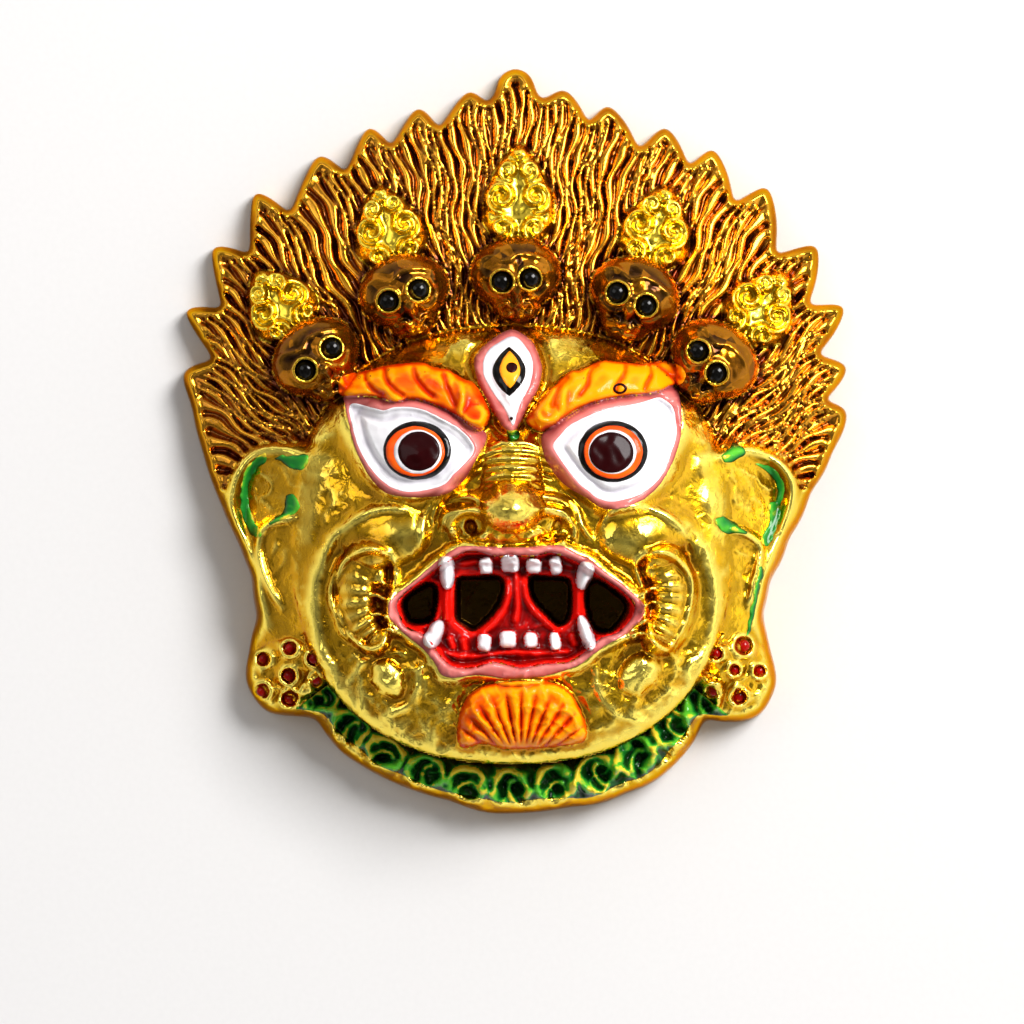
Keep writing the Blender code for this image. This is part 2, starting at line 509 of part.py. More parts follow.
def add_beard(z, x, y):
    radius = np.hypot(x - BEARD_ROOT[0], y - BEARD_ROOT[1])
    angle = np.degrees(np.arctan2(x - BEARD_ROOT[0], y - BEARD_ROOT[1]))
    low, high = BEARD_RADII
    body = pillow(radius - low, 1.8) * pillow(high - radius, 2.6)
    body = body * pillow(np.radians(BEARD_HALF_ANGLE - np.abs(angle)) * radius, 1.6)
    locks = np.cos(math.pi * BEARD_LOCKS * angle / BEARD_HALF_ANGLE)
    return z + body * (BEARD_RISE + BEARD_LOCK_RISE * locks)


def front_rise(x, y):
    """Rise of the whole carved front but for the hair's strands."""
    z = add_finials(add_collar(add_earrings(add_ears(plate_rise(x, y), x, y), x, y), x, y), x, y)
    z = np.where(head_share(x, y) < 1.0, np.maximum(head_rise(x, y), np.where(y > JAW_FROM, z, 0.0)), z)
    z = add_brows(add_eyes(add_beard(add_mouth(add_cheeks(z, x, y), x, y), x, y), x, y), x, y)
    return add_skulls(add_nose(add_third_eye(z, x, y), x, y), x, y)


def shown_rise(x, y, outline):
    """The front with the rounded edge of the casting."""
    edge = EDGE_HEIGHT / RISE
    rounded = pillow(inside_depth(x, y, outline, reach=1.0), EDGE_ROUND / HUNDREDTH)
    return edge + (front_rise(x, y) - edge) * rounded


def ceiling_rise(x, y, outline):
    """The hollow's ceiling: the lowest of the front near this place, less the wall."""
    lowest = shown_rise(x, y, outline)
    for reach, count in ((0.45 * BACK_STEP, 6), (0.9 * BACK_STEP, 12)):
        for angle in np.arange(count) * 2 * math.pi / count:
            near_x, near_y = x + reach * math.cos(angle), y + reach * math.sin(angle)
            lowest = np.minimum(lowest, shown_rise(near_x, near_y, outline))
    return np.maximum(lowest - 0.5 * STRAND_RISE - WALL / RISE, 0.8)


def flame_lines(above, tip, below, strands):
    """The strands' lines of one flame, between its two valleys."""
    lines = []
    for i in range(2 * strands + 1):
        share = i / (2 * strands)
        start = above + (below - above) * share
        start = start + (tip - 0.5 * (above + below)) * FLAME_GATHER * (1.0 - abs(2.0 * share - 1.0))
        goal = np.array((0.0, np.interp(start[1], FAN_HEIGHTS, FAN_CENTRES)))
        length = np.hypot(*(goal - start))
        along = np.arange(HAIR_EDGE, STRAND_REACH * length, STRAND_STEP)[:, None]
        direction = (goal - start) / length
        wave = STRAND_WAVE * np.sin(2 * math.pi * along / STRAND_WAVE_LENGTH + 0.08 * start[0])
        places = start + along * direction + wave * np.array((-direction[1], direction[0]))
        lines.append((places, 1.0 if i % 2 else -1.0))
    return lines


def hair_lines():
    """Crests (1) and grooves (-1) of the strands, from the edge inwards: [(places, crest or groove)]."""
    lines = flame_lines(np.array(KNOB[0]), np.array(KNOB[3]), np.array(KNOB[-1]), STRAND_COUNT)
    for corners, side in zip(both_sides(), (1.0, -1.0)):
        tips = corners[0::2]
        valleys = [np.array(HAIR_ENDS[0]), *corners[1::2], np.array(HAIR_ENDS[1])]
        for tip, above, below in zip(tips, valleys, valleys[1:]):
            strands = LAST_STRAND_COUNT if tip is tips[-1] else STRAND_COUNT
            for places, crest in flame_lines(above, tip, below, strands):
                lines.append((places * (side, 1.0), crest))
    return lines


def covers_hair(x, y):
    """Whether skulls, finials, ears or the head stand where a strand would run."""
    covered = (head_share(x, y) < 1.01) | (y < -7.0)
    for centre_x, centre_y, lean in SKULLS:
        across, along = turned(x, y, centre_x, centre_y, lean)
        for half_width, half_height, up in (CRANIUM, SKULL_JAW):
            covered |= np.hypot(across / (half_width + 0.3), (along - up) / (half_height + 0.3)) < 1.0
    for (centre_x, centre_y, lean), half_length in zip(FINIALS, FINIAL_HALF_LENGTHS):
        covered |= finial_share(*turned(x, y, centre_x, centre_y, lean), half_length) < 1.06
    for fold in (LEFT_EAR, RIGHT_EAR):
        covered |= (path_distance(x, y, fold)[0] < EAR_FOLD_WIDTH) | (inside_depth(x, y, fold) > 0.0)
    return covered


class Points:
    """Places kept a given distance apart, with the edges that must stay between them."""

    def __init__(self, loops):
        self.places, self.extra, self.edges, self.cells = [], [], [], {}
        for loop in loops:
            start = len(self.places)
            for place in loop:
                self.put(place, 0.0)
            self.edges += [(start + i, start + (i + 1) % len(loop)) for i in range(len(loop))]

    def put(self, place, extra):
        self.cells.setdefault((math.floor(place[0]), math.floor(place[1])), []).append(len(self.places))
        self.places.append((float(place[0]), float(place[1])))
        self.extra.append(extra)

    def is_free(self, place, apart):
        column, row = math.floor(place[0]), math.floor(place[1])
        reach = math.ceil(apart)
        for i in range(column - reach, column + reach + 1):
            for j in range(row - reach, row + reach + 1):
                if any(math.dist(self.places[other], place) < apart for other in self.cells.get((i, j), ())):
                    return False
        return True

    def add(self, places, kept, apart, extra=0.0, joined=False, most=math.inf):
        """Adds the kept places that are free, joining neighbours by edges if asked."""
        last = None
        for order in np.flatnonzero(kept):
            place = places[order]
            if len(self.places) < most and self.is_free(place, apart):
                self.put(place, extra)
                if joined and last is not None and last == order - 1:
                    self.edges.append((len(self.places) - 2, len(self.places) - 1))
                last = order


def oval(centre_x, centre_y, half_width, half_height, lean, count):
    angles = np.arange(count) * 2 * math.pi / count
    across, along = half_width * np.cos(angles), half_height * np.sin(angles)
    return np.column_stack(placed(across, along, centre_x, centre_y, lean))


def hex_grid(step, loop):
    """Places in staggered rows over the box round a loop."""
    low, high = loop.min(axis=0), loop.max(axis=0)
    rows = np.arange(low[1], high[1], step * math.sqrt(0.75))
    columns = np.arange(low[0], high[0], step)
    return np.array([(x + 0.5 * step * (i % 2), y) for i, y in enumerate(rows) for x in columns])


def triangulate(points):
    """(places, triangles turning left, order in which each place was put)."""
    made = delaunay_2d_cdt([Vector(place) for place in points.places], points.edges, [], 0, 1e-7)
    order = np.array([origin[0] if origin else -1 for origin in made[3]])
    return np.array([tuple(place) for place in made[0]]), np.array([tuple(face) for face in made[2]]), order


def within(places, loop, margin=0.0):
    """Which places lie inside a loop by more than a margin."""
    return inside_depth(places[:, 0], places[:, 1], loop) > margin


def refine(points, outline):
    """Adds the places where flat facets miss the carving most, until the front has all its facets."""
    low, high = outline.min(axis=0) - SAMPLE_STEP, outline.max(axis=0) + 2 * SAMPLE_STEP
    columns, rows = np.arange(low[0], high[0], SAMPLE_STEP), np.arange(low[1], high[1], SAMPLE_STEP)
    grid_x, grid_y = np.meshgrid(columns, rows)
    rises = shown_rise(grid_x, grid_y, outline)

    def rise_at(x, y):
        i, j = (x - columns[0]) / SAMPLE_STEP, (y - rows[0]) / SAMPLE_STEP
        a, b = np.floor(i).astype(int), np.floor(j).astype(int)
        u, v = i - a, j - b
        below = rises[b, a] * (1 - u) + rises[b, a + 1] * u
        return below * (1 - v) + (rises[b + 1, a] * (1 - u) + rises[b + 1, a + 1] * u) * v

    most = (FRONT_FACET_COUNT + len(outline)) // 2
    pairs = [(a, b) for a in range(1, 11) for b in range(1, 12 - a) if (a + 2 * b) % 3 == 0]
    shares = [np.array((a, b, 12 - a - b)) / 12 for a, b in pairs]
    while len(points.places) < most:
        flat, triangles, _ = triangulate(points)
        corners = flat[triangles[within(flat[triangles].mean(axis=1), outline)]]
        corner_rises = rise_at(corners[:, :, 0], corners[:, :, 1])
        sides = corners[:, 1] - corners[:, 0], corners[:, 2] - corners[:, 0]
        size = np.sqrt(sides[0][:, 0] * sides[1][:, 1] - sides[0][:, 1] * sides[1][:, 0])
        worst, places = np.zeros(len(corners)), np.zeros((len(corners), 2))
        for share in shares:
            tried = np.einsum("k,nkj->nj", share, corners)
            miss = np.abs(rise_at(tried[:, 0], tried[:, 1]) - corner_rises @ share) * size
            places = np.where((miss > worst)[:, None], tried, places)
            worst = np.maximum(miss, worst)
        before = len(points.places)
        places = places[np.argsort(-worst)]
        points.add(places, np.ones(len(places)), CLOSEST_POINTS, most=min(most, before + POINTS_PER_ROUND))
        if len(points.places) == before:
            return


def ring_seeds():
    """Ovals along the crests and edges of the small carvings."""
    seeds = []

    def add(place, half_width, half_height, lean, *shares):
        for share in shares:
            growth = RING_COUNT_GROWTH * share * max(half_width, half_height)
            count = round(RING_COUNT + growth) if share else 1
            seeds.append(oval(*place, share * half_width, share * half_height, lean, count))

    for x, y, half_width, half_height, lean in TEETH + FANGS:
        add((x, y), half_width, half_height, lean, 0.0, 0.7, 1.04)
    for place in IRISES:
        add(place, IRIS_RADIUS, IRIS_RADIUS, 0, 0.9, 1.06)
    for x, y, half_width, half_height in NOSTRILS:
        add((x, y), half_width, half_height, 0, 0.0, 0.6, 1.0)
    for x, y, half_width, half_height in (NOSE_TIP, *NOSE_WINGS):
        add((x, y), half_width, half_height, 0, 0.0, 0.45, 0.8, 1.01)
    for x, y, lean in SKULLS:
        for eye in SKULL_EYES:
            add(placed(*eye, x, y, lean), SKULL_EYE_RADIUS, SKULL_EYE_RADIUS, lean, 0.0, 0.5, 0.85, 1.14)
        for half_width, half_height, up in (CRANIUM, SKULL_JAW):
            add(placed(0.0, up, x, y, lean), half_width, half_height, lean, 1.01, 0.95, 0.75)
    for (x, y, lean), half_length in zip(FINIALS, FINIAL_HALF_LENGTHS):
        for across, along, share in SCROLLS:
            place = placed(across * FINIAL_HALF_WIDTH, along * half_length, x, y, lean)
            radius = share * FINIAL_HALF_WIDTH
            add(place, radius, radius, lean, 0.0, 0.66, 1.0)
    for centre in EARRINGS:
        for place in bead_places(centre):
            add(place, EARRING_BEAD_RADIUS, EARRING_BEAD_RADIUS, 0, 0.0, 0.65, 1.02)
        add(centre, EARRING_RADIUS, EARRING_RADIUS, 0, 0.97)
    for place in collar_places():
        add(place, COLLAR_CURL_RADIUS, COLLAR_CURL_RADIUS, 0, 0.0, 0.3, 0.64, 1.0)
    for x, y, lean in JAW_KNOBS:
        add((x, y), *JAW_KNOB, lean, 0.0, 0.6, 0.98)
        add((x, y), *JAW_KNOB_HOLLOW, lean, 1.0)
    for x, y, lean in CHEEK_LOBES:
        add((x, y), *CHEEK_LOBE, lean, 0.5, 0.95)
    for x, y, side in TUFTS:
        add((x, y), *TUFT_HOLLOW, 0, 0.82, 1.03, 1.25)
    for place in BROW_CURLS:
        add(place, BROW_CURL_RADIUS, BROW_CURL_RADIUS, 0, 0.6, 1.0)
    add(THIRD_EYE_BALL[:2], *THIRD_EYE_BALL[2:], 0, 0.5, 1.0)
    return seeds


def even_path(path, step):
    """Places a step apart along an open path."""
    points = smooth_path(path, closed=False)
    passed = np.concatenate([[0.0], np.cumsum(np.hypot(*np.diff(points, axis=0).T))])
    at = np.linspace(0.0, passed[-1], int(passed[-1] / step) + 1)
    return np.column_stack([np.interp(at, passed, points[:, axis]) for axis in (0, 1)])


def beside(path, distance):
    """Places beside a path."""
    along = np.gradient(path, axis=0)
    return path + distance * np.column_stack((-along[:, 1], along[:, 0])) / np.hypot(*along.T)[:, None]


def inset(loop, depth):
    """A closed path, clockwise or not, moved inwards."""
    ahead, behind = np.roll(loop, -1, axis=0), np.roll(loop, 1, axis=0)
    turn = np.sign(np.sum(loop[:, 0] * ahead[:, 1] - loop[:, 1] * ahead[:, 0]))
    along = ahead - behind
    return loop + turn * depth * np.column_stack((-along[:, 1], along[:, 0])) / np.hypot(*along.T)[:, None]


def path_seeds():
    """Places along the long folds of the carving, and beside them."""
    seeds = []
    for x, y, side in TUFTS:
        tuft = even_path(np.array(TUFT_PATH) * (side, 1.0) + (x, y), 0.8)
        seeds += [tuft, beside(tuft, 0.7 * TUFT_HALF_WIDTH), beside(tuft, -0.7 * TUFT_HALF_WIDTH)]
    for fold in (LEFT_EAR, RIGHT_EAR):
        line = even_path(fold, 1.9)
        seeds += [beside(line, share * EAR_FOLD_WIDTH) for share in (0, 1, -1, 2, -2)]
    for side in (1.0, -1.0):
        fold = even_path(np.array(CHEEK_FOLD) * (side, 1.0), 2.2)
        seeds += [fold, beside(fold, CHEEK_FOLD_WIDTH), beside(fold, -CHEEK_FOLD_WIDTH)]
    low, high = BEARD_RADII
    angles = np.radians(np.arange(-BEARD_LOCKS, BEARD_LOCKS + 1) * BEARD_HALF_ANGLE / BEARD_LOCKS)
    for radius in (low, low + 1.8, 0.5 * (low + high), high - 1.5, high):
        seeds.append(np.column_stack((np.sin(angles), np.cos(angles))) * radius + BEARD_ROOT)
    for share, count in ((1.012, 120), (0.975, 100)):
        angles = np.arange(count) * 2 * math.pi / count
        ray = np.column_stack((np.cos(angles), np.sin(angles)))
        reach = share / head_share(ray[:, 0] + HEAD_CENTRE[0], ray[:, 1] + HEAD_CENTRE[1])
        seeds.append(ray * reach[:, None] + HEAD_CENTRE)
    return seeds


def front_points(outline):
    points = Points([outline])
    inward = (OUTLINE_MIDDLE - outline) / np.hypot(*(OUTLINE_MIDDLE - outline).T)[:, None]
    for share in (0.35, 1.0):
        points.add(outline + inward * share * EDGE_ROUND / HUNDREDTH, np.ones(len(outline)), 0.5)
    for loop, depths in LOOP_DEPTHS:
        for depth in depths:
            places = inset(smooth_path(loop, per_span=2), depth)
            points.add(places, np.ones(len(places)), CLOSEST_POINTS, joined=True)
    for places in ring_seeds() + path_seeds():
        points.add(places, within(places, outline, 0.3), CLOSEST_POINTS)
    for places, crest in hair_lines():
        shown = within(places, outline, 0.8 * HAIR_EDGE) & ~covers_hair(*places.T)
        points.add(places, shown, 0.36, 0.5 * STRAND_RISE * crest, joined=True)
    grid = hex_grid(GRID_STEP, outline)
    points.add(grid, within(grid, outline, 0.35 * GRID_STEP), 0.55 * GRID_STEP)
    refine(points, outline)
    return points


def hollow_loop(outline):
    """The hollow's outline on the back: a smooth loop that stays a rim's width inside the outline."""
    relative = outline - OUTLINE_MIDDLE
    angles, radii = np.arctan2(relative[:, 1], relative[:, 0]), np.hypot(*relative.T)
    order = np.argsort(angles)
    at = np.arange(RAY_COUNT) * 2 * math.pi / RAY_COUNT - math.pi
    radius = np.interp(at, angles[order], radii[order], period=2 * math.pi)
    radius = np.min([np.roll(radius, shift) for shift in range(-17, 18)], axis=0)
    radius = np.mean([np.roll(radius, shift) for shift in range(-8, 9)], axis=0) - RIM_WIDTH / HUNDREDTH
    chosen = np.arange(HOLLOW_COUNT) * RAY_COUNT // HOLLOW_COUNT
    return np.column_stack((np.cos(at), np.sin(at)))[chosen] * radius[chosen, None] + OUTLINE_MIDDLE


def build_mask():
    outline = mask_outline()
    front = front_points(outline)
    flat, triangles, order = triangulate(front)
    triangles = triangles[within(flat[triangles].mean(axis=1), outline)]
    rises = shown_rise(flat[:, 0], flat[:, 1], outline)
    rises += np.where(order >= 0, np.array(front.extra)[order], 0.0)
    rises[(order >= 0) & (order < len(outline))] = EDGE_HEIGHT / RISE

    hollow = hollow_loop(outline)
    back = Points([outline, hollow])
    grid = hex_grid(BACK_STEP, hollow)
    back.add(grid, within(grid, hollow, 0.25 * BACK_STEP), 0.45 * BACK_STEP)
    back_flat, back_triangles, back_order = triangulate(back)
    middles = back_flat[back_triangles].mean(axis=1)
    in_metal, in_hollow = within(middles, outline), within(middles, hollow)
    ceiling = ceiling_rise(back_flat[:, 0], back_flat[:, 1], outline)

    mesh = bmesh.new()

    def surface(places, rise, chosen, flipped):
        """Facets of one surface, as {place: vertex}."""
        verts = {i: mesh.verts.new((*(places[i] * HUNDREDTH), rise[i] * RISE)) for i in np.unique(chosen)}
        for face in chosen:
            mesh.faces.new([verts[i] for i in (face[::-1] if flipped else face)])
        return verts

    def wall(upper, upper_order, lower, lower_order, first, count):
        """The side between two surfaces along a loop that both were given."""
        above = {order: upper[i] for i, order in enumerate(upper_order) if i in upper}
        below = {order: lower[i] for i, order in enumerate(lower_order) if i in lower}
        for i in range(count):
            here, following = first + i, first + (i + 1) % count
            mesh.faces.new((above[here], above[following], below[following], below[here]))

    shown = surface(flat, rises, triangles, False)
    rim = surface(back_flat, 0.0 * ceiling, back_triangles[in_metal & ~in_hollow], True)
    roof = surface(back_flat, ceiling, back_triangles[in_hollow], True)
    wall(shown, order, rim, back_order, 0, len(outline))
    wall(roof, back_order, rim, back_order, len(outline), len(hollow))

    bmesh.ops.recalc_face_normals(mesh, faces=mesh.faces)
    data = bpy.data.meshes.new("mask")
    mesh.to_mesh(data)
    mesh.free()
    data.shade_smooth()
    data.set_sharp_from_angle(angle=math.radians(50.0))
    mask = bpy.data.objects.new("mask", data)
    bpy.context.scene.collection.objects.link(mask)
    return mask


def gilt_metal():
    """Cast metal, gilded and lacquered."""
    material = bpy.data.materials.new("gilt_metal")
    material.use_nodes = True
    shader = material.node_tree.nodes["Principled BSDF"]
    shader.inputs["Base Color"].default_value = (0.72, 0.47, 0.06, 1.0)
    shader.inputs["Metallic"].default_value = 1.0
    shader.inputs["Roughness"].default_value = 0.25
    return material


def main():
    for thing in list(bpy.data.objects):
        bpy.data.objects.remove(thing, do_unlink=True)
    mask = build_mask()
    mask.data.materials.append(gilt_metal())


main()
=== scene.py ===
"""Looks of the guardian mask: gilded cast metal under clear and tinted lacquers, with thick cold enamels.

Places are (right, up) in hundredths of the mask's height, measured from the middle of its outline, and
rises are in hundredths too. Leans are in degrees, anticlockwise as seen from the front. The mask lies on
its open back with +Z out of the face, and every size comes from the box of the CAD solid.
"""

import math

import bmesh
import bpy
import numpy as np
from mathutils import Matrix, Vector, noise
from mathutils.geometry import delaunay_2d_cdt
from mathutils.kdtree import KDTree


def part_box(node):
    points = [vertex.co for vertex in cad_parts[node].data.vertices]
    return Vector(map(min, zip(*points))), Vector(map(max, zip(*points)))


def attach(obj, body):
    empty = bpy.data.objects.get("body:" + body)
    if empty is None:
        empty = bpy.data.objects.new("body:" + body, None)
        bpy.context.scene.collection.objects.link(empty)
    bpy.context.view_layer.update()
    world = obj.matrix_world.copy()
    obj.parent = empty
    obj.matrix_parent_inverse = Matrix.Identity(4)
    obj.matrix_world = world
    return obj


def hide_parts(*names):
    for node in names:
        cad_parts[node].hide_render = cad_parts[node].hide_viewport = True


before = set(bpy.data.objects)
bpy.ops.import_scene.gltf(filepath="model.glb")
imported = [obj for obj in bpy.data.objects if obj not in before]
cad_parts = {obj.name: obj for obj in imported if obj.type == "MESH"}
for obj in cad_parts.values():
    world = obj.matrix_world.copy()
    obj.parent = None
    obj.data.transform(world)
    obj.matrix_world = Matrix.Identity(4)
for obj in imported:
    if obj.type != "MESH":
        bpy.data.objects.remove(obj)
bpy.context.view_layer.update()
LOW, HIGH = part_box("mask")
HUNDREDTH = (HIGH[1] - LOW[1]) / 100.0
NOSE_TIP_RISE = 27.0
RISE = (HIGH[2] - LOW[2]) / NOSE_TIP_RISE
MILLIMETRE = 0.001

# Metal of the casting, in hundredths.
WALL = 2.0
LEAST_CEILING = 0.8
RIM_WIDTH = 2.2
EDGE_HEIGHT = 1.2
EDGE_ROUND = 1.3
OUTLINE_MIDDLE = (0.0, -1.3)

# Flames of the hair, from the knob on top down each side.
KNOB = [(-3.7, 45.0), (-2.5, 46.6), (-2.3, 48.9), (0.0, 50.15), (2.3, 48.9), (2.7, 46.5), (3.6, 45.4)]
RIGHT_TIPS = [(6.5, 47.0), (12.3, 44.9), (20.0, 42.0), (26.4, 39.1), (33.7, 34.0), (40.4, 26.1),
              (44.2, 17.9), (44.57, 9.8), (44.4, 4.0)]
LEFT_TIPS = [(-6.2, 46.8), (-13.0, 44.6), (-19.6, 42.0), (-26.3, 38.2), (-34.9, 33.2), (-40.6, 25.8),
             (-44.3, 17.3), (-44.5, 8.9)]
VALLEY_SHARE = 0.75
VALLEY_DEPTH = 0.45
# How far a line of the outline bows out, as a share of its length: on a flame's way inwards, and elsewhere.
FLAME_BULGE = 0.08
EDGE_BULGE = 0.03
TIP_PUSH = 0.45
CORNER_ROUNDS = 15
RIGHT_SIDE = [(42.6, -1.5), (39.6, -7.0), (36.7, -13.2), (34.1, -18.9), (33.1, -23.4), (34.2, -28.0),
              (35.3, -32.6), (33.2, -36.9), (29.4, -37.9), (25.4, -37.2)]
CHIN_SIDE = [(24.2, -40.4), (20.6, -44.4), (15.2, -47.2), (7.8, -49.2), (0.0, -50.15), (-8.4, -48.5),
             (-15.4, -46.4), (-21.6, -43.1), (-25.1, -39.8)]
LEFT_SIDE = [(-26.6, -37.2), (-29.4, -37.1), (-33.6, -36.6), (-36.1, -33.0), (-35.6, -28.4), (-34.4, -23.8),
             (-35.2, -18.4), (-37.2, -13.6), (-39.6, -8.3), (-41.9, -1.8), (-43.4, 4.6)]

# Hair strands.
STRAND_COUNT = 6
LAST_STRAND_COUNT = 10
STRAND_RISE = 0.9
EDGE_BEAD = 0.45
STRAND_WAVE = 0.5
STRAND_WAVE_LENGTH = 12.5
STRAND_STEP = 1.3
STRAND_REACH = 0.66
FLAME_GATHER = 0.62
HAIR_EDGE = 0.85
HAIR_ENDS = ((3.5, 45.2), (40.0, -6.5))
FAN_HEIGHTS = (-8.0, 10.0, 30.0)
FAN_CENTRES = (-12.0, -22.0, -27.0)
SLOT_LENGTH = 6.5
SLOT_DEPTH = 0.9
LIFT_LENGTH = 9.0
STRAND_LIFT = 0.45
STRAND_WOBBLE = 0.22
STRAND_WOBBLE_LENGTH = 5.3
STRANDS_END = -7.0
CROWN_END = -6.5

# The domed plate under everything, and the head on it.
PLATE_MIDDLE = (0.0, -4.0)
PLATE_HALF = (44.0, 50.0)
PLATE_EDGE_RISE = 4.2
PLATE_CROWN = 6.6
PLATE_LOWEST_SHARE = -0.12
HEAD_CENTRE = (-0.4, -14.1)
HEAD_HALF = (29.8, 29.3)
HEAD_SQUARENESS = 2.3
HEAD_EDGE_RISE = 8.7
HEAD_RISE = 19.6
JAW_EDGE_RISE = 2.6
HEAD_FULLNESS = 2.4
JAW_FROM, JAW_TO = -14.0, -34.0
HEAD_BLEND = 2.0
HEAD_BLEND_FOOT = (-26.0, -22.0)
HEAD_BLEND_TOP = (8.0, 2.0)
JAW_SHADE = 0.75
JAW_SHADE_SHARES = (0.86, 0.97)
JAW_SHADE_HEIGHTS = (-24.0, -34.0)
# Soft lumps of the head and ridges of its crumpled foil: (rise, size, layer of the noise).
HEAD_LUMPS = [(0.25, 3.2, 1.0), (0.1, 1.3, 2.0)]
HEAD_FOIL = [(0.28, 4.2, 21.0), (0.16, 2.0, 22.0)]
HEAD_FOIL_PATCH = 7.0
EYE_CALM = (10.0, 8.0)

# Skulls and the scrolled finials behind them: (right, up, lean).
SKULLS = [(-26.4, 10.6, 33.0), (-14.7, 19.3, 18.0), (0.1, 21.6, 2.0), (15.8, 18.9, -20.0),
          (26.4, 10.3, -36.0)]
CRANIUM = (6.1, 4.9, 0.6)
SKULL_JAW = (3.5, 3.0, -2.9)
SKULL_BASE_RISE = 10.6
CRANIUM_RISE = 5.2
SKULL_JAW_RISE = 3.9
SKULL_EYES = [(-28.0, 9.3), (-24.5, 12.2), (-16.9, 18.5), (-12.9, 20.0), (-1.7, 21.1), (2.0, 21.5),
              (13.7, 19.6), (17.5, 17.9), (24.5, 11.8), (26.9, 8.9)]
SKULL_EYE_RADIUS = 1.4
SKULL_RING_SHARE = 1.32
SKULL_BALL_SHARE = 0.95
SKULL_REACH = 8.0
SKULL_LUMPS = [(0.3, 2.2, 7.0), (0.12, 0.8, 7.5)]
SKULL_JAW_CRUMPLE = 0.75
SKULL_TOOTH_RISE = 0.55
SKULL_TOOTH_WIDTH = 0.24
SKULL_CREASE_RISE = 0.4
SKULL_CREASE_WIDTH = 0.3
SOCKET_DEPTH = 1.0
SOCKET_RING_RISE = 0.45
SOCKET_RING_WIDTH = 0.25
SOCKET_RING_SHARE = 1.12
# A skull's short nose: (across, along, half width, half height), and its rise.
SKULL_NOSE = (0.15, -2.0, 0.85, 1.3)
SKULL_NOSE_RISE = 1.1
# Broken lines across each skull's jaws, and creases over it.
SKULL_TEETH = [[(-2.9, -3.0), (-2.2, -3.9), (-1.3, -3.3), (-0.6, -4.2), (0.2, -3.4), (1.0, -4.2),
                (1.7, -3.5), (2.6, -4.0)],
               [(-2.5, -4.6), (-1.4, -5.1), (-0.4, -4.8), (0.5, -5.4), (1.5, -4.9), (2.5, -5.0)]]
SKULL_CREASES = [[(-5.2, 2.4), (-3.4, 3.1), (-1.2, 2.3), (0.6, 3.2), (3.2, 2.7), (5.0, 1.6)],
                 [(0.0, 0.4), (-0.4, -1.2), (-1.4, -2.6)], [(0.3, 0.4), (0.8, -1.2), (1.9, -2.4)],
                 [(-4.6, -1.0), (-3.6, -2.2), (-2.0, -2.7)], [(4.6, -1.0), (3.4, -2.3), (2.0, -2.7)]]
FINIALS = [(-31.7, 18.3, 36.0), (-17.0, 28.4, 14.0), (0.5, 32.6, 0.0), (19.0, 28.4, -14.0),
           (33.2, 17.9, -34.0)]
FINIAL_HALF_LENGTHS = [5.2, 5.8, 7.0, 5.8, 5.4]
FINIAL_HALF_WIDTH = 4.5
FINIAL_TAPER = 0.38
FINIAL_RISE = 1.9
# Scrolls of a finial, as shares of its half width and half length: (across, along, radius, turning).
SCROLLS = [(0.52, 0.0, 0.5, 1), (-0.52, 0.0, 0.5, -1), (0.5, -0.62, 0.38, -1), (-0.5, -0.62, 0.38, 1),
           (0.3, 0.5, 0.3, 1), (-0.3, 0.5, 0.3, -1), (0.0, 0.84, 0.2, 1)]
SCROLL_TURNS = 1.35
SCROLL_RISE = 1.2
SCROLL_WIDTH = 0.38
SCROLL_STEPS = 26
SCROLL_BUD_RISE = 0.7
SCROLL_BUD = 0.5
FINIAL_CRUMPLE = 0.25

# Eyes: loops of the white and of the pink rim, and the ovals laid on the white.
LEFT_WHITE = [(-22.2, 4.2), (-21.5, 4.8), (-19.2, 4.3), (-17.6, 3.9), (-16.0, 4.3), (-13.8, 4.3),
              (-11.8, 3.8), (-9.9, 2.8), (-8.1, 1.9), (-6.6, 0.7), (-5.5, -0.8), (-5.6, -1.9),
              (-6.7, -3.2), (-8.1, -4.6), (-9.4, -6.0), (-11.2, -6.6), (-13.7, -7.0), (-16.0, -6.6),
              (-17.6, -5.6), (-19.2, -3.9), (-20.4, -2.0), (-21.2, -0.1), (-21.8, 2.2)]
LEFT_PINK = [(-22.8, 5.9), (-22.8, 4.9), (-22.4, 3.1), (-21.9, 0.7), (-21.0, -2.0), (-19.8, -4.4),
             (-18.3, -6.3), (-16.8, -7.3), (-14.5, -7.7), (-11.8, -7.7), (-9.4, -7.4), (-7.9, -6.5),
             (-6.5, -5.1), (-5.4, -3.1), (-4.3, -1.2), (-3.8, 0.1), (-4.0, 1.0), (-5.1, 1.7), (-6.7, 2.6),
             (-8.6, 3.8), (-11.2, 5.0), (-13.7, 5.6), (-16.0, 5.3), (-19.8, 5.8)]
RIGHT_WHITE = [(5.1, -0.9), (5.6, 0.1), (7.5, 2.0), (9.7, 3.1), (11.7, 3.9), (14.2, 4.4), (16.5, 4.8),
               (19.0, 5.6), (20.3, 5.1), (21.1, 4.2), (21.5, 2.4), (21.5, 0.4), (20.8, -1.9),
               (19.9, -4.2), (18.5, -6.0), (16.5, -7.4), (14.2, -8.1), (12.8, -8.3), (11.2, -7.9),
               (9.8, -6.9), (8.3, -5.6), (7.0, -4.0), (5.6, -2.0)]
RIGHT_PINK = [(3.5, -0.1), (4.0, 1.2), (5.4, 2.0), (7.5, 3.6), (9.9, 4.8), (13.4, 5.7), (16.8, 6.2),
              (19.4, 6.8), (20.9, 7.4), (21.8, 6.6), (22.1, 5.0), (22.3, 3.1), (22.2, 0.7), (21.5, -1.9),
              (20.4, -4.3), (19.1, -6.3), (17.3, -7.9), (15.2, -8.9), (13.3, -9.3), (11.4, -9.1),
              (9.7, -7.9), (7.5, -6.7), (6.0, -5.5), (4.8, -3.9), (3.9, -2.3)]
